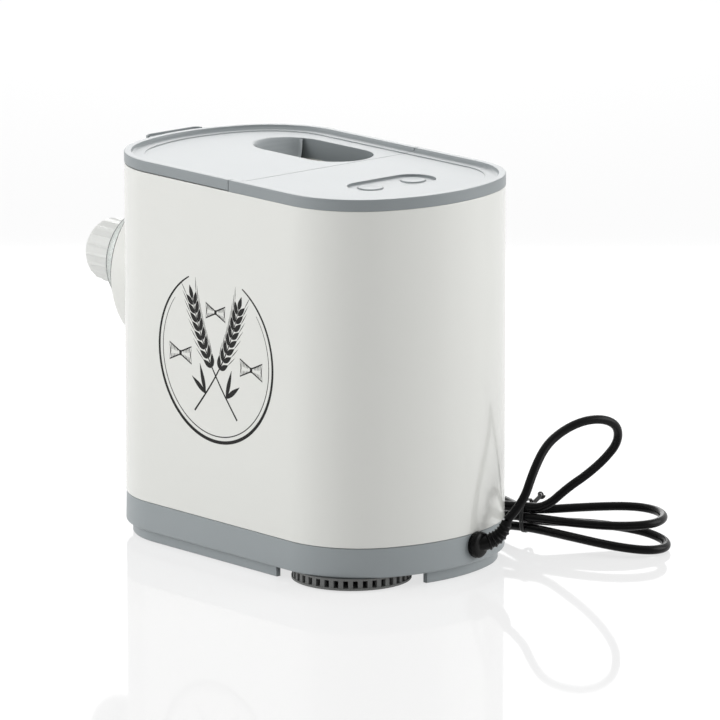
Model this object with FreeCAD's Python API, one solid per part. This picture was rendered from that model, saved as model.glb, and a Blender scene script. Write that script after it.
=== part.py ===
import FreeCAD
import Part
import math
import os

V = FreeCAD.Vector
X_AXIS = V(1, 0, 0)
Y_AXIS = V(0, 1, 0)
Z_AXIS = V(0, 0, 1)

# Electric pasta maker, millimetres. The front, where the pasta comes out, looks along -Y.
# Everything is drawn about the middle of the casing at floor level, and saved moved back by
# save_shift, so that the origin is under the middle of the machine from nut to rear wall.

# Casing plan: flat sides joined to bowed ends by tangent corner arcs
half_width = 95.0
half_length = 155.0
end_radius = 135.3
corner_radius = 67.84

# Heights of the stacked body
floor_gap = 0.8
base_z = 9.66
casing_z = 32.5
band_z = 284.3
deck_z = 290.5
rim_z = 293.0
casing_wall = 2.5
tray_wall = 3.0
tray_floor = 3.4
deck_thickness = 3.0
rim_width = 5.5
lid_gap = 0.7
seam_y = 13.0
seam_gap = 0.6

# Extruding end: screw axis along Y
screw_z = 189.0
bezel_radius = 66.0
bowl_radius = 59.0
bowl_wall = 2.5
bezel_front = -158.0
bowl_front = -138.0
bowl_rear = 24.0
cover_radius = 62.0
hub_radius = 39.0
hub_front = -196.0
barrel_bore = 19.0
neck_radius = 22.5
neck_front = -224.0
nut_radius = 25.0
nut_front = -240.0
save_shift = V(0, -(nut_front + half_length) / 2, 0)

# Hopper at the top of the mixing bowl
hopper_half = 76.0
hopper_front = -116.0
hopper_z = 266.0

# Pour opening in the lid
pour_x = (-66.0, -11.0)
pour_y = (-95.0, 10.0)
pour_depth_z = 270.0
ramp_end_y = -44.0
ramp_depth = 13.0
ramp_floor_half = 11.0

# Control recess and its two buttons
pill_centre = (1.0, 88.0)
pill_size = (76.0, 35.0)
pill_depth = 2.0
button_radius = 9.4
button_offset = 21.0
button_top = 289.3
button_bottom = 282.0
board_z = 274.0
board_thickness = 1.6

# Air intake under the rear corner
drum_centre = (49.0, 97.5)
drum_radius = 44.5
drum_ribs = 38
drum_bottom = 1.4
vent_radius = 36.0

# Gear train: a one-start worm on the upright motor shaft turns the screw's wheel
gear_module = 2.0
wheel_teeth = 38
wheel_radius = gear_module * wheel_teeth / 2
worm_radius = 8.0
worm_lead = math.pi * gear_module
tooth_half = 1.5
thread_half = 1.1
tooth_height = 1.6
tooth_root = 2.2
facets_per_turn = 20
wheel_y = 95.0
wheel_width = 12.0
motor_x = wheel_radius + worm_radius
motor_y = wheel_y
motor_radius = 36.0
motor_bottom = 38.0
motor_top = 140.0
rotor_shaft = 4.0
screw_shaft = 6.0
running_gap = 0.05

# Mains cord
cord_diameter = 6.7
cord_radius = cord_diameter / 2
gland_point = V(-25, 152.7, 23.7)
gland_normal = V(-25, 133, 0)
sleeve_direction = V(-18.8, 6.2, 17.3)
sleeve_length = 26.0

# The cord's free stretch, from the sleeve up and over to the tie
lead_route = [
    V(-72, 164, 74), V(-88, 160, 90), V(-106, 160, 99), V(-124, 163, 104), V(-142, 166, 103),
    V(-157, 165, 95), V(-164, 158, 80), V(-161, 146, 65), V(-154, 134, 52), V(-146, 123, 42),
]

# The bundle of loops: waist, loops on both sides of it, and its winding
waist = V(-123, 100, 0)
waist_z = 27.0
waist_half = 1.0
tie_shift = -3.3
layer_step = 7.6
hank_axis = 109.0
steps_per_turn = 16
# Each loop in winding order: heading in degrees, reach, bulge and height of its tip
hank_loops = [(272, 88, 41, 22), (134, 106, 64, 20), (268, 79, 40, 13), (120, 112, 54, 3.6)]
tail_route = [V(-122, 58, 5.5), V(-122, 38, 3.6), V(-120, 18, 5.0), V(-118, -2, 11.0)]
plug_entry = V(-117, -22, 16.8)


def save(name, shape):
    moved = shape.copy()
    moved.translate(save_shift)
    moved.exportStep("parts/" + name + ".step")
    print(name, "volume", round(moved.Volume), "solids", len(moved.Solids), "valid", moved.isValid())


def fuse(shapes):
    whole = shapes[0].fuse(shapes[1:]) if len(shapes) > 1 else shapes[0]
    return whole.removeSplitter()


def box(x, y, z):
    return Part.makeBox(x[1] - x[0], y[1] - y[0], z[1] - z[0], V(x[0], y[0], z[0]))


def rod(radius, start, end):
    return Part.makeCylinder(radius, (end - start).Length, start, end - start)


def tube(outer, inner, start, end):
    return rod(outer, start, end).cut(rod(inner, start, end))


def on_screw(y):
    return V(0, y, screw_z)


def upright(x, y, z):
    return V(x, y, z)


def footprint(inset):
    """Casing plan at floor level, drawn in by inset."""
    corner = corner_radius - inset
    end = end_radius - inset
    side = half_width - inset
    spread = end_radius - corner_radius
    centre_x = half_width - corner_radius
    end_centre = half_length - end_radius
    centre_y = end_centre + math.sqrt(spread ** 2 - centre_x ** 2)
    lean = math.atan2(centre_y - end_centre, centre_x)
    edges = []
    for turn in (1, -1):
        def at(x, y):
            return V(turn * x, turn * y, 0)

        def corner_point(sign, angle):
            return at(sign * (centre_x + corner * math.cos(angle)), centre_y + corner * math.sin(angle))

        edges.append(Part.LineSegment(at(side, -centre_y), at(side, centre_y)).toShape())
        edges.append(Part.Arc(corner_point(1, 0), corner_point(1, lean / 2), corner_point(1, lean)).toShape())
        edges.append(Part.Arc(corner_point(1, lean), at(0, end_centre + end), corner_point(-1, lean)).toShape())
        edges.append(Part.Arc(corner_point(-1, lean), corner_point(-1, lean / 2), corner_point(-1, 0)).toShape())
    return Part.Face(Part.Wire(Part.__sortEdges__(edges)))


def slab(inset, low, high):
    plan = footprint(inset)
    plan.translate(V(0, 0, low))
    return plan.extrude(V(0, 0, high - low))


def wall(outer_inset, inner_inset, low, high):
    return slab(outer_inset, low, high).cut(slab(inner_inset, low, high))


def racetrack(centre, size, low, high):
    """Upright bar with round ends; its long way is the larger of the two sizes."""
    width, length = size
    radius = min(width, length) / 2
    run_x = max(width / 2 - radius, 0)
    run_y = max(length / 2 - radius, 0)
    ends = [V(centre[0] - run_x, centre[1] - run_y, low), V(centre[0] + run_x, centre[1] + run_y, low)]
    middle = box((centre[0] - max(run_x, radius * (run_x == 0)), centre[0] + max(run_x, radius * (run_x == 0))),
                 (centre[1] - max(run_y, radius * (run_y == 0)), centre[1] + max(run_y, radius * (run_y == 0))),
                 (low, high))
    rise = V(0, 0, high - low)
    return fuse([middle] + [rod(radius, end, end + rise) for end in ends])


def rounded_box(x, y, z, radius):
    """Box with its upright edges rounded."""
    block = box(x, y, z)
    upright_edges = [e for e in block.Edges if abs(e.tangentAt(e.FirstParameter).z) > 0.9]
    return block.makeFillet(radius, upright_edges)


def revolve(profile, centre, axis, across):
    """Turn a closed profile of (radius, height) pairs about an axis."""
    points = [centre + across * r + axis * h for r, h in profile]
    face = Part.Face(Part.makePolygon(points + points[:1]))
    return face.revolve(centre, axis, 360)


def screw_turned(profile):
    return revolve(profile, on_screw(0), Y_AXIS, X_AXIS)


def front_part(shape, limit):
    return shape.common(box((-200, 200), (-300, limit), (-10, 400)))


def rear_part(shape, limit):
    return shape.common(box((-200, 200), (limit, 300), (-10, 400)))


def casing():
    shell = wall(0, casing_wall, casing_z, band_z)
    shell = shell.cut(rod(bezel_radius, on_screw(-170), on_screw(-100)))
    posts = []
    for point in base_screw_points():
        posts.append(rod(5, point + V(0, 0, tray_top()), point + V(0, 0, 60)))
        wall_x = math.copysign(half_width - 2, point.x)
        posts.append(box(sorted((point.x, wall_x)), (point.y - 1.5, point.y + 1.5), (36, 58)))
    shell = fuse([shell] + posts)
    for point in base_screw_points():
        shell = shell.cut(rod(1.9, point, point + V(0, 0, 40)))
    return shell


def tray_top():
    return base_z + tray_floor


def base_screw_points():
    return [V(x, y, 0) for x in (-78.5, 78.5) for y in (-56, 56)]


def foot_points():
    return [(62, -100), (-62, -100), (77, 30), (-72, 84), (-14, 136)]


def base_tray():
    tray = slab(0, base_z, casing_z).cut(slab(tray_wall, tray_top(), casing_z))
    skirt = wall(5, 9, floor_gap, base_z)
    drum_room = rod(drum_radius + 8, V(drum_centre[0], drum_centre[1], 0), V(drum_centre[0], drum_centre[1], base_z))
    skirt = skirt.cut(drum_room).cut(box((20, 100), (60, 160), (0, base_z)))
    pads = [rod(9, V(x, y, 2.2), V(x, y, base_z)) for x, y in foot_points()]
    tray = fuse([tray, skirt] + pads)
    for x, y in foot_points():
        tray = tray.cut(rod(4, V(x, y, 0), V(x, y, 7)))
    tray = tray.cut(rod(vent_radius, V(drum_centre[0], drum_centre[1], base_z), V(drum_centre[0], drum_centre[1], 20)))
    for point in base_screw_points():
        tray = tray.cut(rod(2.0, point, point + V(0, 0, 20)))
    direction = V(gland_normal).normalize()
    return tray.cut(rod(6, gland_point - direction * 8, gland_point + direction * 8))


def vent_drum():
    centre = V(drum_centre[0], drum_centre[1], 0)
    top = V(centre.x, centre.y, base_z)
    plate = rod(drum_radius, V(centre.x, centre.y, drum_bottom), V(centre.x, centre.y, drum_bottom + 1.6))
    collar = tube(drum_radius - 0.6, drum_radius - 4, V(centre.x, centre.y, base_z - 1.2), top)
    pitch = 360.0 / drum_ribs
    ribs = []
    for index in range(drum_ribs):
        rib = box((centre.x + drum_radius - 4, centre.x + drum_radius - 0.6), (centre.y - 1.8, centre.y + 1.8),
                  (drum_bottom + 0.8, base_z - 0.6))
        rib.rotate(centre, Z_AXIS, index * pitch)
        ribs.append(rib)
    return fuse([plate, collar] + ribs)


def rubber_feet():
    feet = []
    for x, y in foot_points():
        pad = rod(8, V(x, y, 0), V(x, y, 2.2))
        feet.append(fuse([pad, rod(4, V(x, y, 1.5), V(x, y, 7))]))
    return Part.makeCompound(feet)


def prism(radius, sides, start, end):
    """Bar of regular section between two points; its corners lie on the radius."""
    along = end - start
    turn = FreeCAD.Rotation(Z_AXIS, along)
    corners = [start + turn.multVec(V(radius * math.cos(2 * math.pi * i / sides),
                                      radius * math.sin(2 * math.pi * i / sides), 0)) for i in range(sides)]
    return flat_face(corners).extrude(along)


def screw(at, head_radius, head_height, radius, length, direction):
    """Hexagon-head screw: the head's underside at the point given, the shank along the direction."""
    head = prism(head_radius, 6, at - direction * head_height, at)
    return fuse([head, prism(radius, 8, at, at + direction * length)])


def base_screws():
    return Part.makeCompound([screw(V(p.x, p.y, base_z), 4, 2.4, 1.9, 16, Z_AXIS) for p in base_screw_points()])


def top_blank():
    """Grey top before it is parted: band, raised rim, sunken deck, and a tongue inside the casing."""
    blank = slab(0, band_z, rim_z)
    blank = blank.cut(slab(rim_width, deck_z, rim_z))
    blank = blank.cut(slab(3.0, band_z, deck_z - deck_thickness))
    return blank


def rear_top():
    top = rear_part(top_blank(), seam_y + seam_gap / 2)
    tongue = rear_part(wall(casing_wall, 5, 277, deck_z - 2), 26)
    recess_floor = deck_z - pill_depth
    pad = racetrack(pill_centre, (pill_size[0] + 5, pill_size[1] + 5), recess_floor - 3, deck_z - 1)
    top = fuse([top, tongue, pad])
    top = top.cut(racetrack(pill_centre, pill_size, recess_floor, rim_z))
    for x, y in button_points():
        top = top.cut(rod(button_radius + 0.3, V(x, y, 270), V(x, y, rim_z)))
    posts = [rod(3, V(x, y, board_z + board_thickness), V(x, y, recess_floor - 2)) for x, y in board_points()]
    top = fuse([top] + posts)
    for x, y in board_points():
        top = top.cut(rod(1.2, V(x, y, board_z), V(x, y, board_z + 9)))
    return top


def button_points():
    return [(pill_centre[0] + sign * button_offset, pill_centre[1]) for sign in (-1, 1)]


def board_points():
    return [(pill_centre[0] + sx * 34, pill_centre[1] + sy * 14) for sx in (-1, 1) for sy in (-1, 1)]


def button(x, y):
    cap = rod(button_radius, V(x, y, button_bottom), V(x, y, button_top))
    rim_edge = [edge for edge in cap.Edges if edge.CenterOfMass.z > button_top - 0.1]
    cap = cap.makeChamfer(0.6, rim_edge)
    skirt = rod(button_radius + 1.4, V(x, y, button_bottom), V(x, y, button_bottom + 1.6))
    hollow = rod(button_radius - 2, V(x, y, button_bottom - 1), V(x, y, button_top - 2))
    stem = rod(2.5, V(x, y, button_bottom), V(x, y, button_top - 1))
    return fuse([cap.fuse(skirt).cut(hollow), stem])


def control_board():
    x, y = pill_centre
    plate = box((x - 38, x + 38), (y - 18, y + 18), (board_z, board_z + board_thickness))
    for px, py in board_points():
        plate = plate.cut(rod(1.4, V(px, py, board_z - 1), V(px, py, board_z + 3)))
    chip = box((x - 5, x + 5), (y - 5, y + 5), (board_z + board_thickness, board_z + board_thickness + 2))
    plug_socket = box((x - 8, x + 8), (y - 16, y - 10), (board_z - 6, board_z))
    return fuse([plate, chip, plug_socket])


def key_switches():
    bottom = board_z + board_thickness
    switches = []
    for x, y in button_points():
        body = box((x - 3, x + 3), (y - 3, y + 3), (bottom, bottom + 3.5))
        switches.append(fuse([body, rod(1.7, V(x, y, bottom + 3.5), V(x, y, bottom + 4.9))]))
    return Part.makeCompound(switches)


def board_screws():
    return Part.makeCompound([screw(V(x, y, board_z), 2.6, 1.6, 1.2, 7, Z_AXIS) for x, y in board_points()])


def pour_well():
    """Walls of the pour opening, with a spoon-shaped ramp at its front end."""
    centre = (sum(pour_x) / 2, sum(pour_y) / 2)
    size = (pour_x[1] - pour_x[0], pour_y[1] - pour_y[0])
    outer = racetrack(centre, (size[0] + 4, size[1] + 4), pour_depth_z, deck_z)
    inner = racetrack(centre, size, pour_depth_z, rim_z)
    top_half = size[0] / 2 - 0.5
    front_centre = V(centre[0], pour_y[0] + size[0] / 2, deck_z)
    spoon = Part.makeCone(top_half, ramp_floor_half, ramp_depth, front_centre, V(0, 0, -1))
    rim = [V(-top_half, 0, 0), V(top_half, 0, 0), V(ramp_floor_half, 0, -ramp_depth),
           V(-ramp_floor_half, 0, -ramp_depth), V(-top_half, 0, 0)]
    groove = Part.Face(Part.makePolygon([front_centre + corner for corner in rim])).extrude(V(0, 60, 0))
    shelf = inner.common(box((-90, 10), (pour_y[0] - 5, ramp_end_y), (deck_z - ramp_depth - 2.5, deck_z)))
    return outer, inner, shelf.cut(spoon).cut(groove)


def lid():
    top = top_blank().cut(slab(-5, band_z - 1, band_z + lid_gap))
    top = front_part(top, seam_y - seam_gap / 2)
    tongue = front_part(wall(2.9, 4.9, 278, deck_z - 2), seam_y - 2)
    outer, inner, shelf = pour_well()
    tab = rounded_box((-24, 24), (-165, -140), (289.3, 292.6), 7)
    tab = tab.cut(slab(1, 280, 300))
    lug = box((80, 86), (-1, 9), (262, deck_z - 2))
    rests = [box((sx * 90.5 - 1.5, sx * 90.5 + 1.5), (y - 4, y + 4), (band_z, band_z + 4)) for sx in (-1, 1)
             for y in (-70, -10)]
    rests = [piece.cut(slab(-5, 200, band_z)).common(slab(0.2, 280, 300)) for piece in rests]
    top = fuse([top, tongue, outer, tab, lug] + rests)
    top = top.cut(inner)
    return fuse([top, shelf])


def front_bezel():
    ring = tube(bezel_radius, bowl_radius, on_screw(bezel_front), on_screw(-130))
    lip_edges = [e for e in ring.Edges if e.CenterOfMass.y < bezel_front + 0.1 and e.Curve.Radius > bezel_radius - 1]
    return ring.makeChamfer(1.5, lip_edges)


def front_cover():
    front = bezel_front - 0.1
    face = front - 5
    profile = [
        (barrel_bore, neck_front), (neck_radius, neck_front), (neck_radius, hub_front + 1), (hub_radius - 12, hub_front + 1),
        (hub_radius - 12, hub_front + 26), (hub_radius - 4, hub_front + 26), (hub_radius - 4, hub_front),
        (hub_radius - 1, hub_front), (hub_radius, hub_front + 1), (hub_radius, face - 2), (hub_radius + 2, face),
        (cover_radius - 1, face), (cover_radius, face + 1), (cover_radius, front), (56.2, front), (56.2, front + 15),
        (53.6, front + 15), (53.6, face + 3), (barrel_bore + 6, face + 3), (barrel_bore, face - 2),
    ]
    return screw_turned(profile)


def front_seal():
    return tube(58.9, 56.6, on_screw(bowl_front - 4), on_screw(bowl_front))


def die_disc():
    plate = rod(neck_radius, on_screw(-232), on_screw(neck_front - 0.1))
    holes = []
    for count, ring_radius in ((1, 0), (6, 6.5), (8, 13)):
        for index in range(count):
            angle = 2 * math.pi * index / count
            shift = V(ring_radius * math.cos(angle), 0, ring_radius * math.sin(angle))
            holes.append(rod(1.4, on_screw(-240) + shift, on_screw(-220) + shift))
    for hole in holes:
        plate = plate.cut(hole)
    return plate


def die_nut():
    front = nut_front
    profile = [
        (17, front), (nut_radius - 3, front), (nut_radius - 1, front + 2), (nut_radius - 1, hub_front - 3.2),
        (nut_radius, hub_front - 3.2), (nut_radius, hub_front - 0.4), (neck_radius + 0.1, hub_front - 0.4),
        (neck_radius + 0.1, -232.1), (17, -232.1),
    ]
    nut = screw_turned(profile)
    ribs = []
    for index in range(20):
        rib = box((nut_radius - 2, nut_radius - 0.1), (front + 3, hub_front - 2), (screw_z - 1.1, screw_z + 1.1))
        rib.rotate(on_screw(0), Y_AXIS, index * 360 / 20)
        ribs.append(rib)
    return fuse([nut] + ribs)


def bowl_room(inset, front, rear):
    """Mixing bowl's outer form drawn in by inset: a round trough with a flared hopper on it."""
    radius = bowl_radius - inset
    trough = rod(radius, on_screw(front), on_screw(rear))
    back = rear
    front_y = hopper_front + inset
    walls = box((-radius, radius), (front_y, back), (screw_z, 236))

    def ring(half, z):
        return Part.makePolygon([V(-half, front_y, z), V(half, front_y, z), V(half, back, z), V(-half, back, z),
                                 V(-half, front_y, z)])

    hopper = Part.makeLoft([ring(radius, 232), ring(hopper_half - inset, 250)], True, True)
    mouth = box((-hopper_half + inset, hopper_half - inset), (front_y, back), (250, hopper_z))
    return fuse([trough, walls, hopper, mouth])


def mixing_bowl():
    outer = bowl_room(0, bowl_front, bowl_rear)
    inner = bowl_room(bowl_wall, bowl_front - 1, bowl_rear - bowl_wall)
    inner = fuse([inner, box((-hopper_half + bowl_wall, hopper_half - bowl_wall),
                             (hopper_front + bowl_wall, bowl_rear - bowl_wall), (hopper_z - 5, hopper_z + 5))])
    bowl = outer.cut(inner)
    return bowl.cut(rod(12, on_screw(10), on_screw(30)))


def kneading_auger():
    """One moulding: paddles that knead in the bowl, then the screw that feeds the barrel."""
    core_rear = bowl_rear - bowl_wall - 1
    core = rod(10, on_screw(-150), on_screw(core_rear))
    neck = rod(8, on_screw(-222), on_screw(-148))
    paddles = []
    for index in range(6):
        y = -118 + index * 23
        paddle = paddle_blade()
        paddle.rotate(V(0, 0, 0), Y_AXIS, index * 90 + (45 if index % 2 else 0))
        paddle.translate(on_screw(y))
        paddles.append(paddle)
    body = core.fuse(neck).fuse(flight())
    for paddle in paddles:
        body = body.fuse(paddle)
    pocket = hexagon(5.2, 0, core_rear + 1)
    return body.cut(pocket)


def paddle_blade():
    """Blade standing on the hub, wider and thinner towards its tip, and pitched like a propeller."""
    sections = []
    for height, width, thickness, pitch in ((8, 9, 9, 10), (30, 13, 6, 25), (52, 16, 4, 38)):
        outline = Part.makePolygon([V(-width / 2, -thickness / 2, height), V(width / 2, -thickness / 2, height),
                                    V(width / 2, thickness / 2, height), V(-width / 2, thickness / 2, height),
                                    V(-width / 2, -thickness / 2, height)])
        outline.rotate(V(0, 0, height), Z_AXIS, pitch)
        sections.append(outline)
    return Part.makeLoft(sections, True, True)


def helical_blade(radii, halves, pitch, length):
    """Right-handed thread about Z from height 0, of tapering section, in flat facets."""
    steps = round(length / pitch * facets_per_turn)
    stations = []
    for index in range(steps + 1):
        angle = 2 * math.pi * index / facets_per_turn
        out = V(math.cos(angle), math.sin(angle), 0)
        middle = V(0, 0, pitch * index / facets_per_turn)
        stations.append([middle + out * r + V(0, 0, sign * half) for sign, r, half in (
            (-1, radii[0], halves[0]), (-1, radii[1], halves[1]), (1, radii[1], halves[1]), (1, radii[0], halves[0]))])
    faces = [flat_face(stations[0][::-1]), flat_face(stations[-1])]
    for low, high in zip(stations, stations[1:]):
        for k in range(4):
            following = (k + 1) % 4
            faces.append(flat_face([low[k], low[following], high[following]]))
            faces.append(flat_face([low[k], high[following], high[k]]))
    blade = Part.Solid(Part.Shell(faces))
    if blade.Volume < 0:
        blade.reverse()
    return blade


def flat_face(points):
    return Part.Face(Part.makePolygon(points + points[:1]))


def flight():
    """Feed screw's helical flight, wound about Z and then laid along the screw axis."""
    blade = helical_blade((7.0, barrel_bore - 0.5), (2.2, 1.2), 20.0, 86.0)
    blade.rotate(V(0, 0, 0), X_AXIS, 90)
    blade.translate(on_screw(-134))
    return blade


def hexagon(radius, start, end):
    points = [on_screw(start) + V(radius * math.cos(math.radians(a)), 0, radius * math.sin(math.radians(a)))
              for a in range(0, 361, 60)]
    return Part.Face(Part.makePolygon(points)).extrude(V(0, end - start, 0))


def drive_shaft():
    nose = hexagon(5.0, 1, 22)
    return fuse([nose, rod(screw_shaft, on_screw(20.8), on_screw(124))])


def shaft_seal():
    return tube(12, screw_shaft + running_gap, on_screw(bowl_rear - bowl_wall), on_screw(bowl_rear))


def bush(radius, start, end):
    return tube(radius + 3.5, radius + running_gap, start, end)


def shaft_bushes():
    return Part.makeCompound([bush(screw_shaft, on_screw(24), on_screw(30)),
                              bush(screw_shaft, on_screw(116), on_screw(122))])


def gear_frame():
    """Bulkhead behind the bowl, a shelf that the motor hangs from, and a rear plate for the bushes."""
    bulkhead = rounded_plate()
    shelf = box((4, 76), (27, 121), (motor_top, motor_top + 4))
    rear = box((-26, 76), (117, 121), (motor_top, 240))
    beam = box((-26, 30), (27, 118), (236, 240))
    arm = box((34, 60), (82, 118), (214, 219))
    stay = box((-26, -22), (27, 118), (motor_top, 240)).cut(box((-30, -20), (40, 110), (150, 230)))
    frame = fuse([bulkhead, shelf, rear, beam, arm, stay])
    frame = frame.cut(rod(screw_shaft + 3.5, on_screw(20), on_screw(130)))
    frame = frame.cut(rod(rotor_shaft + 3.5, V(motor_x, motor_y, 200), V(motor_x, motor_y, 230)))
    frame = frame.cut(rod(13, V(motor_x, motor_y, 130), V(motor_x, motor_y, 150)))
    for point in motor_screw_points():
        frame = frame.cut(rod(2, point - V(0, 0, 5), point + V(0, 0, 10)))
    return frame


def rounded_plate():
    plate = box((-88, 88), (24, 28), (tray_top(), 270))
    window = box((-70, -34), (20, 30), (150, 230))
    return plate.cut(window)


def motor_screw_points():
    points = []
    for angle in (45, 135, 225, 315):
        a = math.radians(angle)
        points.append(V(motor_x + 25 * math.cos(a), motor_y + 25 * math.sin(a), motor_top))
    return points


def motor_screws():
    return Part.makeCompound([screw(p + V(0, 0, 4), 3.8, 2.4, 2, 12, V(0, 0, -1)) for p in motor_screw_points()])


def motor_can():
    at = V(motor_x, motor_y, 0)
    outer = rod(motor_radius, at + V(0, 0, motor_bottom), at + V(0, 0, motor_top))
    inner = rod(motor_radius - 2.5, at + V(0, 0, motor_bottom + 3), at + V(0, 0, motor_top - 9))
    can = outer.cut(inner).cut(rod(rotor_shaft + 3.5, at, at + V(0, 0, 200)))
    for index in range(8):
        slot = box((motor_x + 14, motor_x + 28), (motor_y - 3, motor_y + 3), (motor_bottom - 1, motor_bottom + 4))
        slot.rotate(at, Z_AXIS, index * 45 + 22.5)
        can = can.cut(slot)
    for point in motor_screw_points():
        can = can.cut(rod(2, point - V(0, 0, 8), point))
    return can


def stator():
    at = V(motor_x, motor_y, 0)
    ring = tube(motor_radius - 2.5, 27, at + V(0, 0, 60), at + V(0, 0, 116))
    poles = []
    for index in range(4):
        pole = box((motor_x + 23.5, motor_x + 28), (motor_y - 8, motor_y + 8), (60, 116))
        pole.rotate(at, Z_AXIS, index * 90 + 45)
        poles.append(pole)
    return fuse([ring] + poles).cut(rod(23.4, at, at + V(0, 0, 200)))


def rotor():
    at = V(motor_x, motor_y, 0)
    shaft = rod(rotor_shaft, at + V(0, 0, 15.5), at + V(0, 0, 224))
    core = rod(22.8, at + V(0, 0, 62), at + V(0, 0, 114))
    for index in range(12):
        slot = box((motor_x + 16, motor_x + 24), (motor_y - 1.5, motor_y + 1.5), (60, 116))
        slot.rotate(at, Z_AXIS, index * 30)
        core = core.cut(slot)
    commutator = rod(9, at + V(0, 0, 118), at + V(0, 0, 129))
    return fuse([shaft, core, commutator])


def motor_bushes():
    at = V(motor_x, motor_y, 0)
    spans = ((motor_bottom, motor_bottom + 6), (motor_top - 9, motor_top), (214, 220))
    return Part.makeCompound([bush(rotor_shaft, at + V(0, 0, low), at + V(0, 0, high)) for low, high in spans])


def cooling_fan():
    at = V(motor_x, motor_y, 0)
    hub = tube(9, rotor_shaft, at + V(0, 0, 16), at + V(0, 0, 34))
    blades = []
    for index in range(9):
        blade = box((motor_x + 7, motor_x + 33), (motor_y - 1, motor_y + 1), (17, 33))
        blade.rotate(at + V(0, 0, 25), X_AXIS, 32)
        blade = blade.common(rod(33, at + V(0, 0, 16), at + V(0, 0, 34)))
        blade.rotate(at, Z_AXIS, index * 40)
        blades.append(blade)
    fan = fuse([hub] + blades)
    return fan.cut(rod(rotor_shaft, at, at + V(0, 0, 60)))


def gear_outline(radius, turn, y):
    """Closed outline of the wheel's teeth at one station along its axis."""
    points = []
    step = 360.0 / wheel_teeth
    half_pitch = math.degrees(tooth_half / radius)
    for index in range(wheel_teeth):
        middle = index * step + turn
        for r, spread in ((radius - tooth_root, 1.35), (radius + tooth_height, 0.55)):
            points.append((r, middle - spread * half_pitch))
        for r, spread in ((radius + tooth_height, 0.55), (radius - tooth_root, 1.35)):
            points.append((r, middle + spread * half_pitch))
    corners = [on_screw(y) + V(r * math.cos(math.radians(a)), 0, r * math.sin(math.radians(a))) for r, a in points]
    return Part.makePolygon(corners + corners[:1])


def worm_wheel():
    """Helical wheel that meshes with the worm; its teeth lean as the worm's thread does."""
    lean = math.degrees(wheel_width * worm_lead / (2 * math.pi * worm_radius) / wheel_radius)
    rear = gear_outline(wheel_radius, -lean / 2, wheel_y + wheel_width / 2)
    front = gear_outline(wheel_radius, lean / 2, wheel_y - wheel_width / 2)
    wheel = Part.makeLoft([front, rear], True, True)
    hub = rod(13, on_screw(wheel_y - 12), on_screw(wheel_y + 12))
    for side in (-1, 1):
        hollow = tube(31, 13, on_screw(wheel_y + side * 2.5), on_screw(wheel_y + side * (wheel_width / 2 + 1)))
        wheel = wheel.cut(hollow)
    return wheel.fuse(hub).cut(rod(screw_shaft, on_screw(50), on_screw(130)))


def worm():
    at = V(motor_x, motor_y, 0)
    low, high = 176.0, 202.0
    core_radius = worm_radius - tooth_root
    core = rod(core_radius, at + V(0, 0, low - 3), at + V(0, 0, high + 3))
    blade = helical_blade((core_radius - 0.3, worm_radius + tooth_height), (1.5 * thread_half, 0.6 * thread_half),
                          worm_lead, high - low)
    blade.translate(V(0, 0, low))
    blade.rotate(V(0, 0, 0), Z_AXIS, worm_start_angle(low))
    blade.translate(at)
    return core.fuse(blade).cut(rod(rotor_shaft, at, at + V(0, 0, 300)))


def worm_start_angle(low):
    """Turn that puts a gap of the thread, facing the wheel, at the height of the screw axis."""
    rise = screw_z - low
    return 180.0 - 360.0 * (rise - worm_lead / 2) / worm_lead


def interlock_switch():
    body = box((79, 87), (2, 24), (238, 256))
    plunger = box((81.5, 84.5), (3, 7), (255, 260))
    return fuse([body, plunger])


def power_board():
    plate = box((-80, -38), (36, 37.6), (50, 140))
    parts = [box((-70, -50), (37.6, 60), (60, 86)), rod(8, V(-60, 37.6, 104), V(-60, 62, 104)),
             box((-50, -42), (37.6, 52), (100, 130))]
    posts = [tube(3, 1.5, V(x, 28, z), V(x, 36, z)) for x, z in power_board_points()]
    board = fuse([plate] + parts + posts)
    for x, z in power_board_points():
        board = board.cut(rod(1.5, V(x, 26, z), V(x, 40, z)))
    return board


def power_board_points():
    return [(x, z) for x in (-77, -41) for z in (53, 137)]


def power_board_screws():
    return Part.makeCompound([screw(V(x, 37.6, z), 2.6, 1.6, 1.5, 9.6, V(0, -1, 0)) for x, z in power_board_points()])


def cord_gland():
    normal = V(gland_normal).normalize()
    along = V(sleeve_direction).normalize()
    flange = rod(10, gland_point - normal * 2, gland_point + normal * 6)
    neck = rod(6, gland_point - normal * 8, gland_point)
    base = gland_point + normal * 6
    flange = flange.cut(slab(0, 0, 60))
    sleeve = [Part.makeCone(5.6, 4.2, sleeve_length + 3, base - along * 3, along)]
    for index in range(6):
        start = base + along * (4.6 + index * 3.5)
        radius = 6.8 - 0.32 * index
        sleeve.append(prism(radius, 16, start, start + along * 2.0))
    return fuse([flange, neck] + sleeve)


def sleeve_end():
    normal = V(gland_normal).normalize()
    return gland_point + normal * 6 + V(sleeve_direction).normalize() * sleeve_length


def hank_point(turn_angle):
    """Point of the winding. Half turns alternate between the two sides of the waist, and the loops are
    drawn in at the waist. 90 degrees is the first pass through it."""
    index = min(int((turn_angle - 90) // 180), len(hank_loops) - 1)
    heading, reach, bulge, tip = hank_loops[index]
    angle = math.radians(turn_angle)
    nearness = abs(round(math.cos(angle), 9))
    along = nearness * reach
    lateral = math.sin(angle) * (waist_half + bulge * nearness ** 1.1)
    height = waist_z - layer_step * (turn_angle - 90) / 360
    height += (tip - height) * math.cos(angle) ** 2
    swing = (heading - hank_axis + 90) % 180 - 90
    side = math.radians(hank_axis - 90 + swing * nearness)
    out = V(math.cos(math.radians(heading)), math.sin(math.radians(heading)), 0)
    across = V(math.cos(side), math.sin(side), 0)
    return V(waist.x, waist.y, 0) + out * along + across * lateral + V(0, 0, height)


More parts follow.
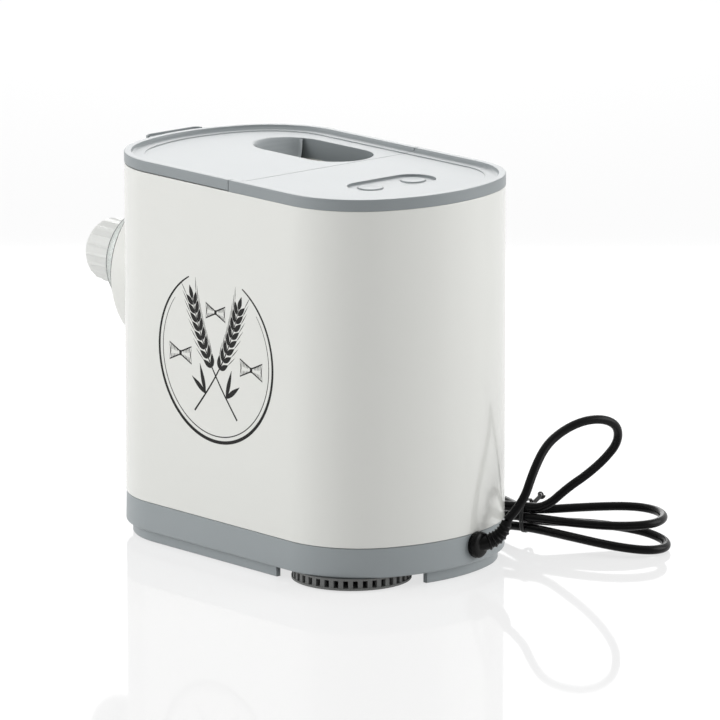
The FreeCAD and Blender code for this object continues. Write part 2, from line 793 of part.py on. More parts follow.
def hank_points():
    step = 360 / steps_per_turn
    winding = [hank_point(90 + step * i) for i in range(2 * steps_per_turn + 1)]
    return winding + tail_route + [plug_entry]


def lead_points():
    hank = hank_points()
    out = V(sleeve_direction).normalize()
    joint = V(hank[1] - hank[0]).normalize()
    start = sleeve_end()
    return [start, start + out * 17] + lead_route + [hank[0] - joint * 17, hank[0]]


def rounded_path(points, name):
    """Straight runs joined by tangent arcs, each as large as its two runs allow."""
    edges = []
    last = points[0]
    radii = []
    for before, corner, after in zip(points, points[1:], points[2:]):
        back = V(before - corner).normalize()
        ahead = V(after - corner).normalize()
        turn = math.pi - back.getAngle(ahead)
        setback = 0.45 * min((before - corner).Length, (after - corner).Length)
        radius = setback / math.tan(turn / 2)
        radii.append(round(radius / cord_diameter, 1))
        start = corner + back * setback
        end = corner + ahead * setback
        middle = corner + V(back + ahead).normalize() * (math.hypot(radius, setback) - radius)
        edges.append(Part.LineSegment(last, start).toShape())
        edges.append(Part.Arc(start, middle, end).toShape())
        last = end
    edges.append(Part.LineSegment(last, points[-1]).toShape())
    print(name, "arc radii in diameters", radii)
    return Part.Wire(edges)


def cord_tube(points, name):
    path = rounded_path(points, name)
    along = V(points[1] - points[0]).normalize()
    across = V(along.cross(Z_AXIS)).normalize()
    rim = []
    sides = 8
    for index in range(sides + 1):
        spoke = V(across) * cord_radius
        turned = FreeCAD.Rotation(along, 360.0 * index / sides + 180.0 / sides).multVec(spoke)
        rim.append(points[0] + turned)
    section = Part.makePolygon(rim)
    solid = path.makePipeShell([section], True, False)
    expected = Part.Face(section).Area * path.Length
    print(name, "length", round(path.Length), "volume over section times length", round(solid.Volume / expected, 4))
    return solid, path


def least_gap(path):
    """Least clear distance of the winding to itself, measured on points along its line."""
    points = path.discretize(Distance=3.0)
    skip = int(8 * cord_diameter / 3.0)
    least = min((a - b).Length for i, a in enumerate(points) for b in points[i + skip:])
    return least - cord_diameter


def cord_tie():
    side = math.radians(hank_axis - 90)
    centre_z = waist_z - layer_step - 0.2
    half_high = layer_step + cord_radius + 1.4
    half_wide = waist_half + cord_radius + 4.8
    outer = box((-half_wide - 1, half_wide + 1), (-1.6, 1.6), (-half_high - 1, half_high + 1))
    inner = box((-half_wide, half_wide), (-3, 3), (-half_high, half_high))
    ends = [box((-14 - half_wide, -half_wide), (-1.4, 1.4), (half_high - 6, half_high - 5)),
            box((-10 - half_wide, -half_wide), (-1.4, 1.4), (half_high - 11, half_high - 10))]
    band = fuse([outer.cut(inner)] + ends)
    band.translate(V(tie_shift, 0, 0))
    band.rotate(V(0, 0, 0), Z_AXIS, math.degrees(side))
    band.translate(V(waist.x, waist.y, centre_z))
    return band


def mains_plug():
    """Round two-pin plug with earth strips down its sides, lying on the floor."""
    along = V(plug_entry - tail_route[-1]).normalize()
    level = V(along.x, along.y, 0).normalize()
    body_start = plug_entry + along * 16
    boot = Part.makeCone(4.4, 7.5, 18, plug_entry, along)
    profile = [(0, 0), (8, 0), (15, 9), (16.5, 20), (16.5, 34), (0, 34)]
    across = V(level.cross(Z_AXIS)).normalize()
    body = revolve(profile, V(body_start.x, body_start.y, 16.8), level, across)
    face = V(body_start.x, body_start.y, 16.8) + level * 34
    pins = []
    for sign in (-1, 1):
        root = face + across * (9.5 * sign)
        pin = rod(2.4, root - level, root + level * 19)
        pins.append(pin)
    return fuse([body, boot] + pins)


def build():
    os.makedirs("parts", exist_ok=True)
    save("outer_casing", casing())
    save("base_tray", base_tray())
    save("vent_drum", vent_drum())
    save("rubber_feet", rubber_feet())
    save("base_screws", base_screws())
    save("rear_top", rear_top())
    left, right = button_points()
    save("program_button", button(*left))
    save("power_button", button(*right))
    save("control_board", control_board())
    save("key_switches", key_switches())
    save("board_screws", board_screws())
    save("lid", lid())
    save("front_bezel", front_bezel())
    save("front_cover", front_cover())
    save("front_seal", front_seal())
    save("die_disc", die_disc())
    save("die_nut", die_nut())
    save("mixing_bowl", mixing_bowl())
    save("kneading_auger", kneading_auger())
    save("drive_shaft", drive_shaft())
    save("shaft_seal", shaft_seal())
    save("shaft_bushes", shaft_bushes())
    save("gear_frame", gear_frame())
    save("worm_wheel", worm_wheel())
    save("worm", worm())
    save("motor_can", motor_can())
    save("stator", stator())
    save("rotor", rotor())
    save("motor_bushes", motor_bushes())
    save("cooling_fan", cooling_fan())
    save("motor_screws", motor_screws())
    save("interlock_switch", interlock_switch())
    save("power_board", power_board())
    save("power_board_screws", power_board_screws())
    save("cord_gland", cord_gland())
    lead, _ = cord_tube(lead_points(), "cord_lead")
    save("cord_lead", lead)
    hank, hank_path = cord_tube(hank_points(), "cord_hank")
    save("cord_hank", hank)
    print("cord_hank least gap to itself", round(least_gap(hank_path), 2))
    save("cord_tie", cord_tie())
    save("mains_plug", mains_plug())


build()
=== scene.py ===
import math

import bmesh
import bpy
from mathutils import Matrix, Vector


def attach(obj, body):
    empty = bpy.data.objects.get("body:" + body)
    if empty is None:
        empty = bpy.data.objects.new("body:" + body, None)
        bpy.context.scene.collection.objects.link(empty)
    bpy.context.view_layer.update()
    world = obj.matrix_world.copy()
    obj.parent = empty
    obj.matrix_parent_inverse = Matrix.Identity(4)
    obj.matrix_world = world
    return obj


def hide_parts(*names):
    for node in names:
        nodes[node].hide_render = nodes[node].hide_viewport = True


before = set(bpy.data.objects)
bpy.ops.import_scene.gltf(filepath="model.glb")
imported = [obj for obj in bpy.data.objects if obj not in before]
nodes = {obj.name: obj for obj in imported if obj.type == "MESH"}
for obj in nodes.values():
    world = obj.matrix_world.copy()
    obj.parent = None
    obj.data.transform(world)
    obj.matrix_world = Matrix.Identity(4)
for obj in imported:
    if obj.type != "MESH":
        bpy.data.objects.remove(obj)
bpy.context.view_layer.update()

mm = 0.001
backShift = 42.5  # the drawing's zero lies this far behind the frame's
upright = Vector((0, 0, 1))
backward = Vector((0, 1, 0))


def at(x, y, z):
    # a place on the drawing, in millimetres, as a place in the frame
    return Vector((x, y + backShift, z)) * mm


# the body's plan and heights, as the drawing has them, in millimetres
body = {
    "halfWidth": 95.0, "halfLength": 155.0, "endRadius": 135.3, "cornerRadius": 67.84,
    "rim": 293.0, "screwZ": 189.0, "arcSteps": 26, "sideSteps": 6,
}


class Wire:
    # arithmetic on node sockets
    def __init__(self, socket):
        self.socket = socket
        self.tree = socket.id_data

    def join(self, operation, first, second):
        made = self.tree.nodes.new("ShaderNodeMath")
        made.operation = operation
        for slot, value in zip(made.inputs, (first, second)):
            if isinstance(value, Wire):
                self.tree.links.new(value.socket, slot)
            elif value is not None:
                slot.default_value = value
        return Wire(made.outputs[0])

    def __add__(self, other):
        return self.join("ADD", self, other)

    def __sub__(self, other):
        return self.join("SUBTRACT", self, other)

    def __rsub__(self, other):
        return self.join("SUBTRACT", other, self)

    def __mul__(self, other):
        return self.join("MULTIPLY", self, other)

    def __pow__(self, other):
        return self.join("POWER", self, other)

    def above(self, level):
        return self.join("GREATER_THAN", self, level)

    def below(self, level):
        return self.join("LESS_THAN", self, level)

    def atLeast(self, other):
        return self.join("MAXIMUM", self, other)

    def atMost(self, other):
        return self.join("MINIMUM", self, other)

    def sine(self):
        return self.join("SINE", self, None)

    __radd__ = __add__
    __rmul__ = __mul__


def rgba(color):
    return (*color, 1) if isinstance(color, tuple) else color


class Finish:
    # one material and the nodes that make it
    def __init__(self, name):
        self.material = bpy.data.materials.new(name)
        self.material.use_nodes = True
        self.tree = self.material.node_tree
        self.tree.nodes.clear()
        self.place = self.node("ShaderNodeTexCoord", {}, {}, "Object")

    def node(self, kind, settings, inputs, output=None):
        made = self.tree.nodes.new(kind)
        for key, value in settings.items():
            setattr(made, key, value)
        for key, value in inputs.items():
            slot = self.find(made.inputs, key)
            if isinstance(value, Wire):
                self.tree.links.new(value.socket, slot)
            else:
                slot.default_value = value
        return Wire(self.find(made.outputs, output) if output else made.outputs[0])

    def find(self, sockets, key):
        return next(s for s in sockets if key in (s.identifier, s.name))

    def noise(self, scale, detail=3.0, roughness=0.5, stretch=None):
        where = self.place
        if stretch:
            where = self.node("ShaderNodeVectorMath", {"operation": "MULTIPLY"},
                              {"Vector": self.place, "Vector_001": stretch})
        return self.node("ShaderNodeTexNoise", {},
                         {"Vector": where, "Scale": scale, "Detail": detail, "Roughness": roughness}, "Fac")

    def blend(self, amount, first, second):
        return self.node("ShaderNodeMix", {"data_type": "RGBA"},
                         {"Factor_Float": amount, "A_Color": rgba(first), "B_Color": rgba(second)},
                         "Result_Color")

    def bump(self, height, distance, strength=1.0, under=None):
        inputs = {"Height": height, "Distance": distance, "Strength": strength}
        if under:
            inputs["Normal"] = under
        return self.node("ShaderNodeBump", {}, inputs)

    def softEdge(self, radius):
        # light catches moulded edges as if they were rounded
        return self.node("ShaderNodeBevel", {"samples": 6}, {"Radius": radius})

    def surface(self, color, roughness, **more):
        inputs = {"Base Color": rgba(color), "Roughness": roughness}
        inputs.update({key.replace("_", " "): value for key, value in more.items()})
        return self.finish(self.node("ShaderNodeBsdfPrincipled", {}, inputs))

    def finish(self, shader):
        end = self.tree.nodes.new("ShaderNodeOutputMaterial")
        self.tree.links.new(shader.socket, end.inputs["Surface"])
        return self.material


def dress(material, *names):
    for name in names:
        mesh = nodes[name].data
        if not mesh.materials:
            mesh.materials.append(material)
        for index in range(len(mesh.materials)):
            mesh.materials[index] = material


whiteShell = {
    "color": (0.805, 0.812, 0.775), "shade": (0.785, 0.79, 0.755), "gloss": 0.14,
    "scuff": 0.08, "peel": 0.000008, "peelScale": 900.0, "edge": 0.0006,
}


def makeWhiteShell():
    look = Finish("whiteShell")
    clouds = look.noise(9.0, 2.0)
    peel = look.noise(whiteShell["peelScale"], 1.0)
    color = look.blend(clouds, whiteShell["color"], whiteShell["shade"])
    scuffs = look.noise(60.0, 6.0, 0.7, (1.0, 1.0, 0.35))
    normal = look.bump(peel, whiteShell["peel"], 0.35, look.softEdge(whiteShell["edge"]))
    return look.surface(color, scuffs * whiteShell["scuff"] + whiteShell["gloss"], Normal=normal,
                        Coat_Weight=0.5, Coat_Roughness=0.03, IOR=1.5)


greyTrim = {
    "color": (0.3, 0.33, 0.342), "light": (0.325, 0.356, 0.368), "grain": 0.00002,
    "grainScale": 2600.0, "edge": 0.0007,
}


def makeGreyTrim(name, tint, gloss):
    look = Finish(name)
    clouds = look.noise(14.0, 3.0)
    grain = look.noise(greyTrim["grainScale"], 2.0, 0.6)
    first = tuple(c * tint for c in greyTrim["color"])
    second = tuple(c * tint for c in greyTrim["light"])
    normal = look.bump(grain, greyTrim["grain"], 0.5, look.softEdge(greyTrim["edge"]))
    return look.surface(look.blend(clouds, first, second), grain * 0.12 + gloss, Normal=normal, IOR=1.48)


def makePlain(name, color, roughness, grain=0.00002, scale=1800.0, edge=0.0003, **more):
    look = Finish(name)
    spots = look.noise(scale, 3.0, 0.6)
    clouds = look.noise(25.0, 4.0)
    dark = tuple(c * 0.86 for c in color)
    normal = look.bump(spots, grain, 0.5, look.softEdge(edge))
    return look.surface(look.blend(clouds, dark, color), clouds * 0.1 + roughness, Normal=normal, **more)


def makeClear():
    look = Finish("clearPlastic")
    waves = look.noise(30.0, 2.0)
    mist = look.noise(220.0, 4.0)
    normal = look.bump(waves, 0.00012, 0.4)
    tone = look.blend(waves, (0.93, 0.96, 0.95), (0.86, 0.9, 0.885))
    return look.surface(tone, mist * 0.08 + 0.03, Normal=normal, Transmission_Weight=0.93, IOR=1.49)


def makeTurned(name, color, roughness, lines=1400.0):
    look = Finish(name)
    rings = look.noise(lines, 2.0, 0.6, (1.0, 0.05, 1.0))
    wear = look.noise(40.0, 4.0)
    tone = look.blend(wear, tuple(c * 0.8 for c in color), color)
    return look.surface(tone, rings * 0.2 + roughness, Normal=look.bump(rings, 0.00002, 0.4), Metallic=1.0)


board = {"cells": 210.0, "gap": 0.045, "lacquer": (0.012, 0.085, 0.03), "track": (0.05, 0.22, 0.08)}


def makeBoard():
    look = Finish("circuitBoard")
    cells = look.node("ShaderNodeTexVoronoi", {"feature": "DISTANCE_TO_EDGE"},
                      {"Vector": look.place, "Scale": board["cells"]}, "Distance")
    lines = cells.below(board["gap"])
    tone = look.blend(lines, board["lacquer"], board["track"])
    speck = look.noise(500.0, 2.0)
    return look.surface(tone, speck * 0.15 + 0.25, Normal=look.bump(lines, 0.00003, 0.5))


sheets = {"perMetre": 5200.0, "edge": (0.19, 0.19, 0.2), "gap": (0.07, 0.07, 0.075)}


def makeLaminations():
    look = Finish("laminations")
    height = look.node("ShaderNodeSeparateXYZ", {}, {"Vector": look.place}, "Z")
    bands = (height * sheets["perMetre"]).sine()
    mask = bands.above(0.2)
    tone = look.blend(mask, sheets["edge"], sheets["gap"])
    return look.surface(tone, mask * 0.2 + 0.3, Metallic=0.85, Normal=look.bump(bands, 0.0001, 0.4))


# finish, colour, roughness and the nodes that have it
plainParts = [
    ("darkMoulding", (0.155, 0.158, 0.155), 0.5,
     ("vent_drum", "cooling_fan", "key_switches", "interlock_switch")),
    ("footRubber", (0.05, 0.05, 0.052), 0.7, ("rubber_feet",)),
    ("siliconeSeal", (0.62, 0.62, 0.6), 0.55, ("front_seal", "shaft_seal")),
    ("gearNylon", (0.72, 0.68, 0.55), 0.4, ("worm_wheel",)),
]
turnedParts = [
    ("turnedSteel", (0.62, 0.62, 0.63), 0.22,
     ("drive_shaft", "worm", "base_screws", "board_screws", "power_board_screws", "motor_screws")),
    ("bronzeBush", (0.48, 0.31, 0.16), 0.35, ("shaft_bushes", "motor_bushes")),
]


def dressFrame(shared):
    dress(shared["white"], "outer_casing")
    dress(shared["base"], "base_tray")
    dress(shared["top"], "rear_top", "lid", "front_bezel")
    dress(shared["keys"], "power_button", "program_button")
    dress(shared["moulded"], "die_nut", "die_disc", "kneading_auger")
    dress(shared["clear"], "front_cover", "mixing_bowl")
    for make, parts in ((makePlain, plainParts), (makeTurned, turnedParts)):
        for name, color, roughness, wearers in parts:
            dress(make(name, color, roughness), *wearers)
    dress(makePlain("castAlloy", (0.55, 0.55, 0.57), 0.45, 0.00006, 700.0, Metallic=0.9), "gear_frame")
    dress(makePlain("zincPlate", (0.5, 0.51, 0.53), 0.35, Metallic=1.0), "motor_can")
    dress(makeLaminations(), "stator", "rotor")
    dress(makeBoard(), "control_board", "power_board")


def link(piece):
    bpy.context.scene.collection.objects.link(piece)


def addObject(name, mesh, material, bodyName="casing"):
    piece = bpy.data.objects.new(name, mesh)
    link(piece)
    piece.data.materials.append(material)
    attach(piece, bodyName)
    return piece


def sharpen(mesh, degrees=35.0):
    # smooth shading that keeps real corners crisp
    work = bmesh.new()
    work.from_mesh(mesh)
    bmesh.ops.recalc_face_normals(work, faces=work.faces)
    for face in work.faces:
        face.smooth = True
    for edge in work.edges:
        if len(edge.link_faces) == 2 and edge.calc_face_angle(0.0) > math.radians(degrees):
            edge.smooth = False
    work.to_mesh(mesh)
    work.free()


def meshOf(name, points, faces, degrees=35.0):
    mesh = bpy.data.meshes.new(name)
    mesh.from_pydata([tuple(p) for p in points], [], faces)
    sharpen(mesh, degrees)
    return mesh


def joinMeshes(name, parts, degrees=35.0):
    points, faces = [], []
    for partPoints, partFaces in parts:
        faces += [[index + len(points) for index in face] for face in partFaces]
        points += partPoints
    return meshOf(name, points, faces, degrees)


def ringsToTube(rings):
    # skin over rings of points with the same count, with a flat cap at each end
    count = len(rings[0])
    points = [p for ring in rings for p in ring]
    faces = []
    for level in range(len(rings) - 1):
        for k in range(count):
            a, b = level * count + k, level * count + (k + 1) % count
            faces.append((a, b, b + count, a + count))
    faces.append(tuple(range(count))[::-1])
    faces.append(tuple(range(len(points) - count, len(points))))
    return points, faces


def closedRings(rings):
    # skin over rings of points, the last joined back to the first
    count = len(rings[0])
    faces = []
    for level in range(len(rings)):
        following = (level + 1) % len(rings)
        for k in range(count):
            after = (k + 1) % count
            faces.append((level * count + k, level * count + after,
                          following * count + after, following * count + k))
    return [p for ring in rings for p in ring], faces


def circle(centre, first, second, radius, sides):
    ring = []
    for k in range(sides):
        angle = 2 * math.pi * k / sides
        ring.append(centre + (first * math.cos(angle) + second * math.sin(angle)) * radius)
    return ring


def sideways(direction):
    # two unit vectors square to a direction
    upward = upright if abs(direction.normalized().z) < 0.95 else Vector((1, 0, 0))
    first = direction.cross(upward).normalized()
    return first, first.cross(direction).normalized()


def sweep(path, radii, sides=24):
    # round skin along a path with a radius at each point; the frame is carried without twist
    rings = []
    first, second = sideways(path[1] - path[0])
    for index, point in enumerate(path):
        ahead = path[min(index + 1, len(path) - 1)] - path[max(index - 1, 0)]
        first = (first - ahead.normalized() * first.dot(ahead.normalized())).normalized()
        second = ahead.normalized().cross(first)
        rings.append(circle(point, first, second, radii[index], sides))
    return ringsToTube(rings)


def turned(profile, start, direction, sides=48):
    # solid of revolution from pairs of distance along and radius, in millimetres
    direction = direction.normalized()
    first, second = sideways(direction)
    rings = []
    for along, radius in profile:
        rings.append(circle(start + direction * along * mm, first, second, max(radius, 0.01) * mm, sides))
    return ringsToTube(rings)


def facesOf(mesh):
    return [v.co.copy() for v in mesh.vertices], [tuple(f.vertices) for f in mesh.polygons]


# Casing plan: flat sides, bowed ends and tangent corner arcs, drawn in by an inset


def planPoints(inset, z):
    arcSteps = body["arcSteps"]
    sideSteps = body["sideSteps"]
    corner = body["cornerRadius"] - inset
    end = body["endRadius"] - inset
    spread = body["endRadius"] - body["cornerRadius"]
    centreX = body["halfWidth"] - body["cornerRadius"]
    endCentre = body["halfLength"] - body["endRadius"]
    centreY = endCentre + math.sqrt(spread ** 2 - centreX ** 2)
    lean = math.atan2(centreY - endCentre, centreX)
    quarter = []
    for i in range(sideSteps):
        quarter.append((body["halfWidth"] - inset, centreY * i / sideSteps))
    for i in range(arcSteps):
        a = lean * i / arcSteps
        quarter.append((centreX + corner * math.cos(a), centreY + corner * math.sin(a)))
    for i in range(arcSteps // 2):
        a = lean + (math.pi / 2 - lean) * i / (arcSteps // 2)
        quarter.append((end * math.cos(a), endCentre + end * math.sin(a)))
    tip = (0.0, endCentre + end)
    half = quarter + [tip] + [(-x, y) for x, y in reversed(quarter[1:])]
    whole = half + [(-x, -y) for x, y in half]
    return [at(x, y, z) for x, y in whole]


def planRing(profile):
    # closed ring: the profile of (inset, height) pairs carried round the plan
    return closedRings([planPoints(inset, z) for inset, z in profile])


def planPlate(profile):
    # closed plate: the same, with a flat face inside its first and last pairs
    return ringsToTube([planPoints(inset, z) for inset, z in profile])


def stadium(centre, size, low, high, steps=24, frontStretch=1.0):
    # upright bar with round ends; its long way is the larger of the two sizes
    radius = min(size) / 2
    run = max(size) / 2 - radius
    alongX = size[0] > size[1]
    outline = []
    for half in (0, 1):
        shift = run if half == 0 else -run
        dx, dy = (shift, 0) if alongX else (0, shift)
        stretch = frontStretch if half == 1 else 1.0
        for i in range(steps + 1):
            a = math.pi * (i / steps + half) - (math.pi / 2 if alongX else 0)
            outline.append((centre[0] + dx + radius * math.cos(a),
                            centre[1] + dy + radius * stretch * math.sin(a)))
    return ringsToTube([[at(x, y, z) for x, y in outline] for z in (low, high)])


def block(x, y, z):
    corners = ((x[0], y[0]), (x[1], y[0]), (x[1], y[1]), (x[0], y[1]))
    return ringsToTube([[at(cx, cy, cz) for cx, cy in corners] for cz in z])


def holder(name, part):
    piece = bpy.data.objects.new(name, meshOf(name, *part))
    link(piece)
    return piece


carving = {"weld": 0.000002, "crease": 28.0}


def carve(name, part, cuts=(), joins=()):
    # solid with others added to it or taken off it, as one new mesh
    blank = holder(name, part)
    helpers = []
    for operation, pieces in (("UNION", joins), ("DIFFERENCE", cuts)):
        for other in pieces:
            tool = holder("tool", other)
            step = blank.modifiers.new("step", "BOOLEAN")
            step.operation = operation
            step.solver = "EXACT"
            step.object = tool
            helpers.append(tool)
    graph = bpy.context.evaluated_depsgraph_get()
    graph.update()
    mesh = bpy.data.meshes.new_from_object(blank.evaluated_get(graph))
    for extra in helpers + [blank]:
        bpy.data.objects.remove(extra)
    work = bmesh.new()
    work.from_mesh(mesh)
    bmesh.ops.remove_doubles(work, verts=work.verts, dist=carving["weld"])
    bmesh.ops.dissolve_degenerate(work, dist=carving["weld"], edges=work.edges)
    work.to_mesh(mesh)
    work.free()
    mesh.materials.clear()
    sharpen(mesh, carving["crease"])
    return mesh


def smoothNormals(piece):
    # flat faces keep flat shading beside rounded edges
    weighted = piece.modifiers.new("weighted", "WEIGHTED_NORMAL")
    weighted.keep_sharp = True
    weighted.weight = 80


def cylinder(centre, direction, radius, length, sides):
    return turned([(0, radius), (length, radius)], centre, direction, sides)


# White casing and grey base

shell = {"bottom": 32.5, "top": 284.3, "wall": 2.5, "edge": 0.55, "portFront": -170.0, "portLength": 70.0}


def roundedSide(low, high, edge, steps=4):
    # outer face with a rounded edge at the bottom and the top
    quarter = [math.pi / 2 * i / steps for i in range(steps + 1)]
    bottom = [(edge * (1 - math.sin(a)), low + edge * (1 - math.cos(a))) for a in quarter]
    return bottom + [(edge * (1 - math.cos(a)), high - edge * (1 - math.sin(a))) for a in quarter]


def makeCasing(material):
    outer = roundedSide(shell["bottom"], shell["top"], shell["edge"])
    ring = planRing(outer + [(shell["wall"], shell["top"]), (shell["wall"], shell["bottom"])])
    port = cylinder(onScrew(shell["portFront"]), backward, front["bezelRadius"], shell["portLength"], 96)
    piece = addObject("white_casing", carve("white_casing", ring, [port]), material)
    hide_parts("outer_casing")
    smoothNormals(piece)


base = {
    "bottom": 9.66, "top": 32.2, "wall": 3.0, "floor": 13.06, "sole": 12.0, "edge": 1.6,
    "chamfer": (0.35, 0.9), "skirt": (5.0, 9.0), "skirtTop": 10.5,
    "skirtChamfer": (0.6, 0.8), "gap": 0.8, "glandRadius": 6.0, "glandDepth": 8.0,
}
vent = {"centre": (49.0, 97.5), "radius": 44.5, "hole": 36.0, "room": 8.0}
feet = {
    "places": [(62, -100), (-62, -100), (77, 30), (-72, 84), (-14, 136)],
    "padLow": 2.3,
    "pad": [(0, 9.0), (0.6, 9.6), (8, 9.6)],
}


def makeBase(material):
    low, high = base["bottom"], base["top"]
    side, flat = base["chamfer"]
    outer = roundedSide(low, high, base["edge"])[:-5] + [(side, high - side), (flat, high)]
    wall = planPlate([(base["sole"], low)] + outer + [(base["wall"], high), (base["wall"], base["floor"])])
    near, far = base["skirt"]
    inward, upward = base["skirtChamfer"]
    skirt = planRing([(near + inward, base["gap"]), (near, base["gap"] + upward), (near, base["skirtTop"]),
                      (far, base["skirtTop"]), (far, base["gap"])])
    x, y = vent["centre"]
    drumRoom = cylinder(at(x, y, -1), upright, vent["radius"] + vent["room"], 13, 72)
    behindDrum = block((20, 100), (60, 160), (-1, 12))
    skirtPart = facesOf(carve("skirt", skirt, [drumRoom, behindDrum]))
    ventHole = cylinder(at(x, y, low - 1), upright, vent["hole"], 8, 64)
    normal = Vector(cord["wallNormal"]).normalized()
    depth = base["glandDepth"]
    inside = Vector(cord["gland"]) - normal * depth
    glandHole = cylinder(at(*inside), normal, base["glandRadius"], 2 * depth, 32)
    pads = [turned(feet["pad"], at(px, py, feet["padLow"]), upright, 32) for px, py in feet["places"]]
    mesh = carve("grey_base", wall, [ventHole, glandHole], [skirtPart] + pads)
    piece = addObject("grey_base", mesh, material)
    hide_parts("base_tray")
    smoothNormals(piece)


# Grey top: raised rim, sunken deck, cut at the seam into the lid and the fixed rear part

top = {
    "band": 284.3, "underside": 287.5, "deck": 290.5, "step": 0.55, "seam": 13.0,
    "gap": 0.3, "pill": ((1.0, 88.0), (76.0, 35.0), 2.0), "pillMargin": 5.0,
    "pillBack": 3.0, "keyRadius": 9.4, "keyShift": 21.0, "keyGap": 0.3, "keyLow": 282.0,
    "pour": ((-38.5, -42.5), (55.0, 105.0)), "pourWall": 4.0,
    "pourLow": 273.0, "across": (-200, 200), "tall": (200, 400),
}
# a key's side and dished face: height above its foot, and how far inside its radius
keySide = [(0, 0.4), (0.4, 0), (6.3, 0), (6.85, 0.18), (7.2, 0.6), (7.3, 1.1), (7.22, 2.6), (7.06, 5.0)]


def topBlank(lift):
    band = top["band"] + lift
    deck = top["deck"]
    rim = body["rim"]
    low = deck - top["step"]
    profile = [(3.0, top["underside"]), (3.0, band), (0.3, band), (0.0, band + 0.3), (0.0, rim - 0.7),
               (0.1, rim - 0.35), (0.35, rim - 0.1), (0.7, rim), (4.7, rim), (5.15, rim - 0.1),
               (5.4, rim - 0.4), (5.6, rim - 1.0), (5.9, rim - 1.6), (6.5, rim - 2.15), (7.4, rim - 2.42),
               (8.5, deck), (15.4, deck), (15.6, deck - 0.06), (15.8, low + 0.06), (16.1, low)]
    return planPlate(profile)


def widened(size, extra):
    return [s + extra for s in size]


def keyPlaces():
    x, y = top["pill"][0]
    return [(x + sign * top["keyShift"], y) for sign in (-1, 1)]


def makeRearTop(material):
    centre, size, depth = top["pill"]
    deck = top["deck"]
    floor = deck - depth
    pad = stadium(centre, widened(size, top["pillMargin"]), floor - top["pillBack"], deck - 1.2)
    lidSide = block(top["across"], (-300, top["seam"] + top["gap"]), top["tall"])
    recess = stadium(centre, size, floor, body["rim"] + 5, 32)
    bore = top["keyRadius"] + top["keyGap"]
    holes = [cylinder(at(x, y, 270), upright, bore, 40, 56) for x, y in keyPlaces()]
    mesh = carve("rear_cover", topBlank(0), [lidSide, recess] + holes, [pad])
    piece = addObject("rear_cover", mesh, material)
    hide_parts("rear_top")
    smoothNormals(piece)


def makeKeys(material):
    radius = top["keyRadius"]
    profile = [(0, 0.2)] + [(height, radius - less) for height, less in keySide] + [(7.0, 0.2)]
    for (x, y), bodyName in zip(keyPlaces(), ("program_button", "power_button")):
        part = turned(profile, at(x, y, top["keyLow"]), upright, 56)
        piece = addObject(bodyName.replace("button", "key"), meshOf(bodyName, *part), material, bodyName)
        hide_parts(bodyName)


spoon = {
    "depth": 14.5, "side": 33.0, "rows": 34, "columns": 60, "lip": 2.0, "stretch": 1.24,
    "ripple": 0.07, "rippleRate": 46, "footWidth": 0.84, "footBow": 10.0,
}


def rampRow(across, angle):
    # one line of the ramp, from the deck down to its foot
    centre, size = top["pour"]
    radius = size[0] / 2
    middleY = centre[1] - size[1] / 2 + radius
    deck = top["deck"] - top["step"]
    rim = Vector((centre[0] + radius * math.cos(angle),
                  middleY + radius * spoon["stretch"] * math.sin(angle), deck))
    drop = spoon["depth"] * (1 - abs(across) ** 7)
    footY = middleY - radius * math.sin(math.radians(spoon["side"])) + spoon["footBow"] * (1 - across ** 2)
    foot = Vector((centre[0] + across * radius * spoon["footWidth"], footY, deck - drop))
    row = []
    for i in range(spoon["rows"] + 1):
        t = i / spoon["rows"]
        spot = rim.lerp(foot, t)
        bend = t * t * (3 - 2 * t)
        fall = bend * 0.55 + (1 - (1 - t) ** 2) * 0.45 * t ** 0.4
        wave = math.sin(t * spoon["rippleRate"]) * math.sin(math.pi * t) * (1 - abs(across) ** 4)
        spot.z = deck - drop * fall + spoon["ripple"] * wave
        row.append(spot)
    return row


def spoonRamp():
    # concave ramp at the front end of the pour opening; it rolls off the deck and ends in an open lip
    first = math.radians(180 + spoon["side"])
    last = math.radians(360 - spoon["side"])
    columns = spoon["columns"]
    shares = [j / columns for j in range(columns + 1)]
    upper = [rampRow(2.0 * t - 1.0, first + (last - first) * t) for t in shares]
    points, faces = [], []
    rows = spoon["rows"] + 1
    for depth in (0.0, spoon["lip"]):
        for row in upper:
            points += [at(p.x, p.y, p.z - depth) for p in row]
    count = len(upper) * rows
    for j in range(columns):
        for i in range(rows - 1):
            a = j * rows + i
            faces.append((a, a + rows, a + rows + 1, a + 1))
            faces.append((a + count, a + count + 1, a + rows + count + 1, a + rows + count))
    border = [j * rows for j in range(columns + 1)]
    border += [columns * rows + i for i in range(1, rows)]
    border += [j * rows + rows - 1 for j in range(columns - 1, -1, -1)]
    border += list(range(rows - 2, 0, -1))
    for a, b in zip(border, border[1:] + border[:1]):
        faces.append((a, b, b + count, a + count))
    return points, faces


tabForm = {
    "halfWidth": 27.0, "front": -165.0, "back": -140.0, "corner": 6.0, "low": 289.3,
    "high": 290.9, "lipLow": 290.0, "lipTop": 292.3, "lipWidth": 1.8,
}


def tabOutline(inset, steps=8):
    # the two rear corners, then the rounded front from one side to the other
    half = tabForm["halfWidth"] - inset
    r = tabForm["corner"] - inset
    outline = [(half, tabForm["back"]), (-half, tabForm["back"])]
    for sign in (-1, 1):
        for i in range(steps + 1):
            a = math.pi / 2 * i / steps
            turn = a if sign < 0 else math.pi / 2 - a
            outline.append((sign * (half - r + r * math.cos(turn)),
                            tabForm["front"] + inset + r - r * math.sin(turn)))
    return outline


def tabPlate():
    low, high = tabForm["low"], tabForm["high"]
    levels = [(low, 0.5), (low + 0.5, 0.0), (high - 0.4, 0.0), (high, 0.4)]
    return ringsToTube([[at(x, y, z) for x, y in tabOutline(inset)] for z, inset in levels])


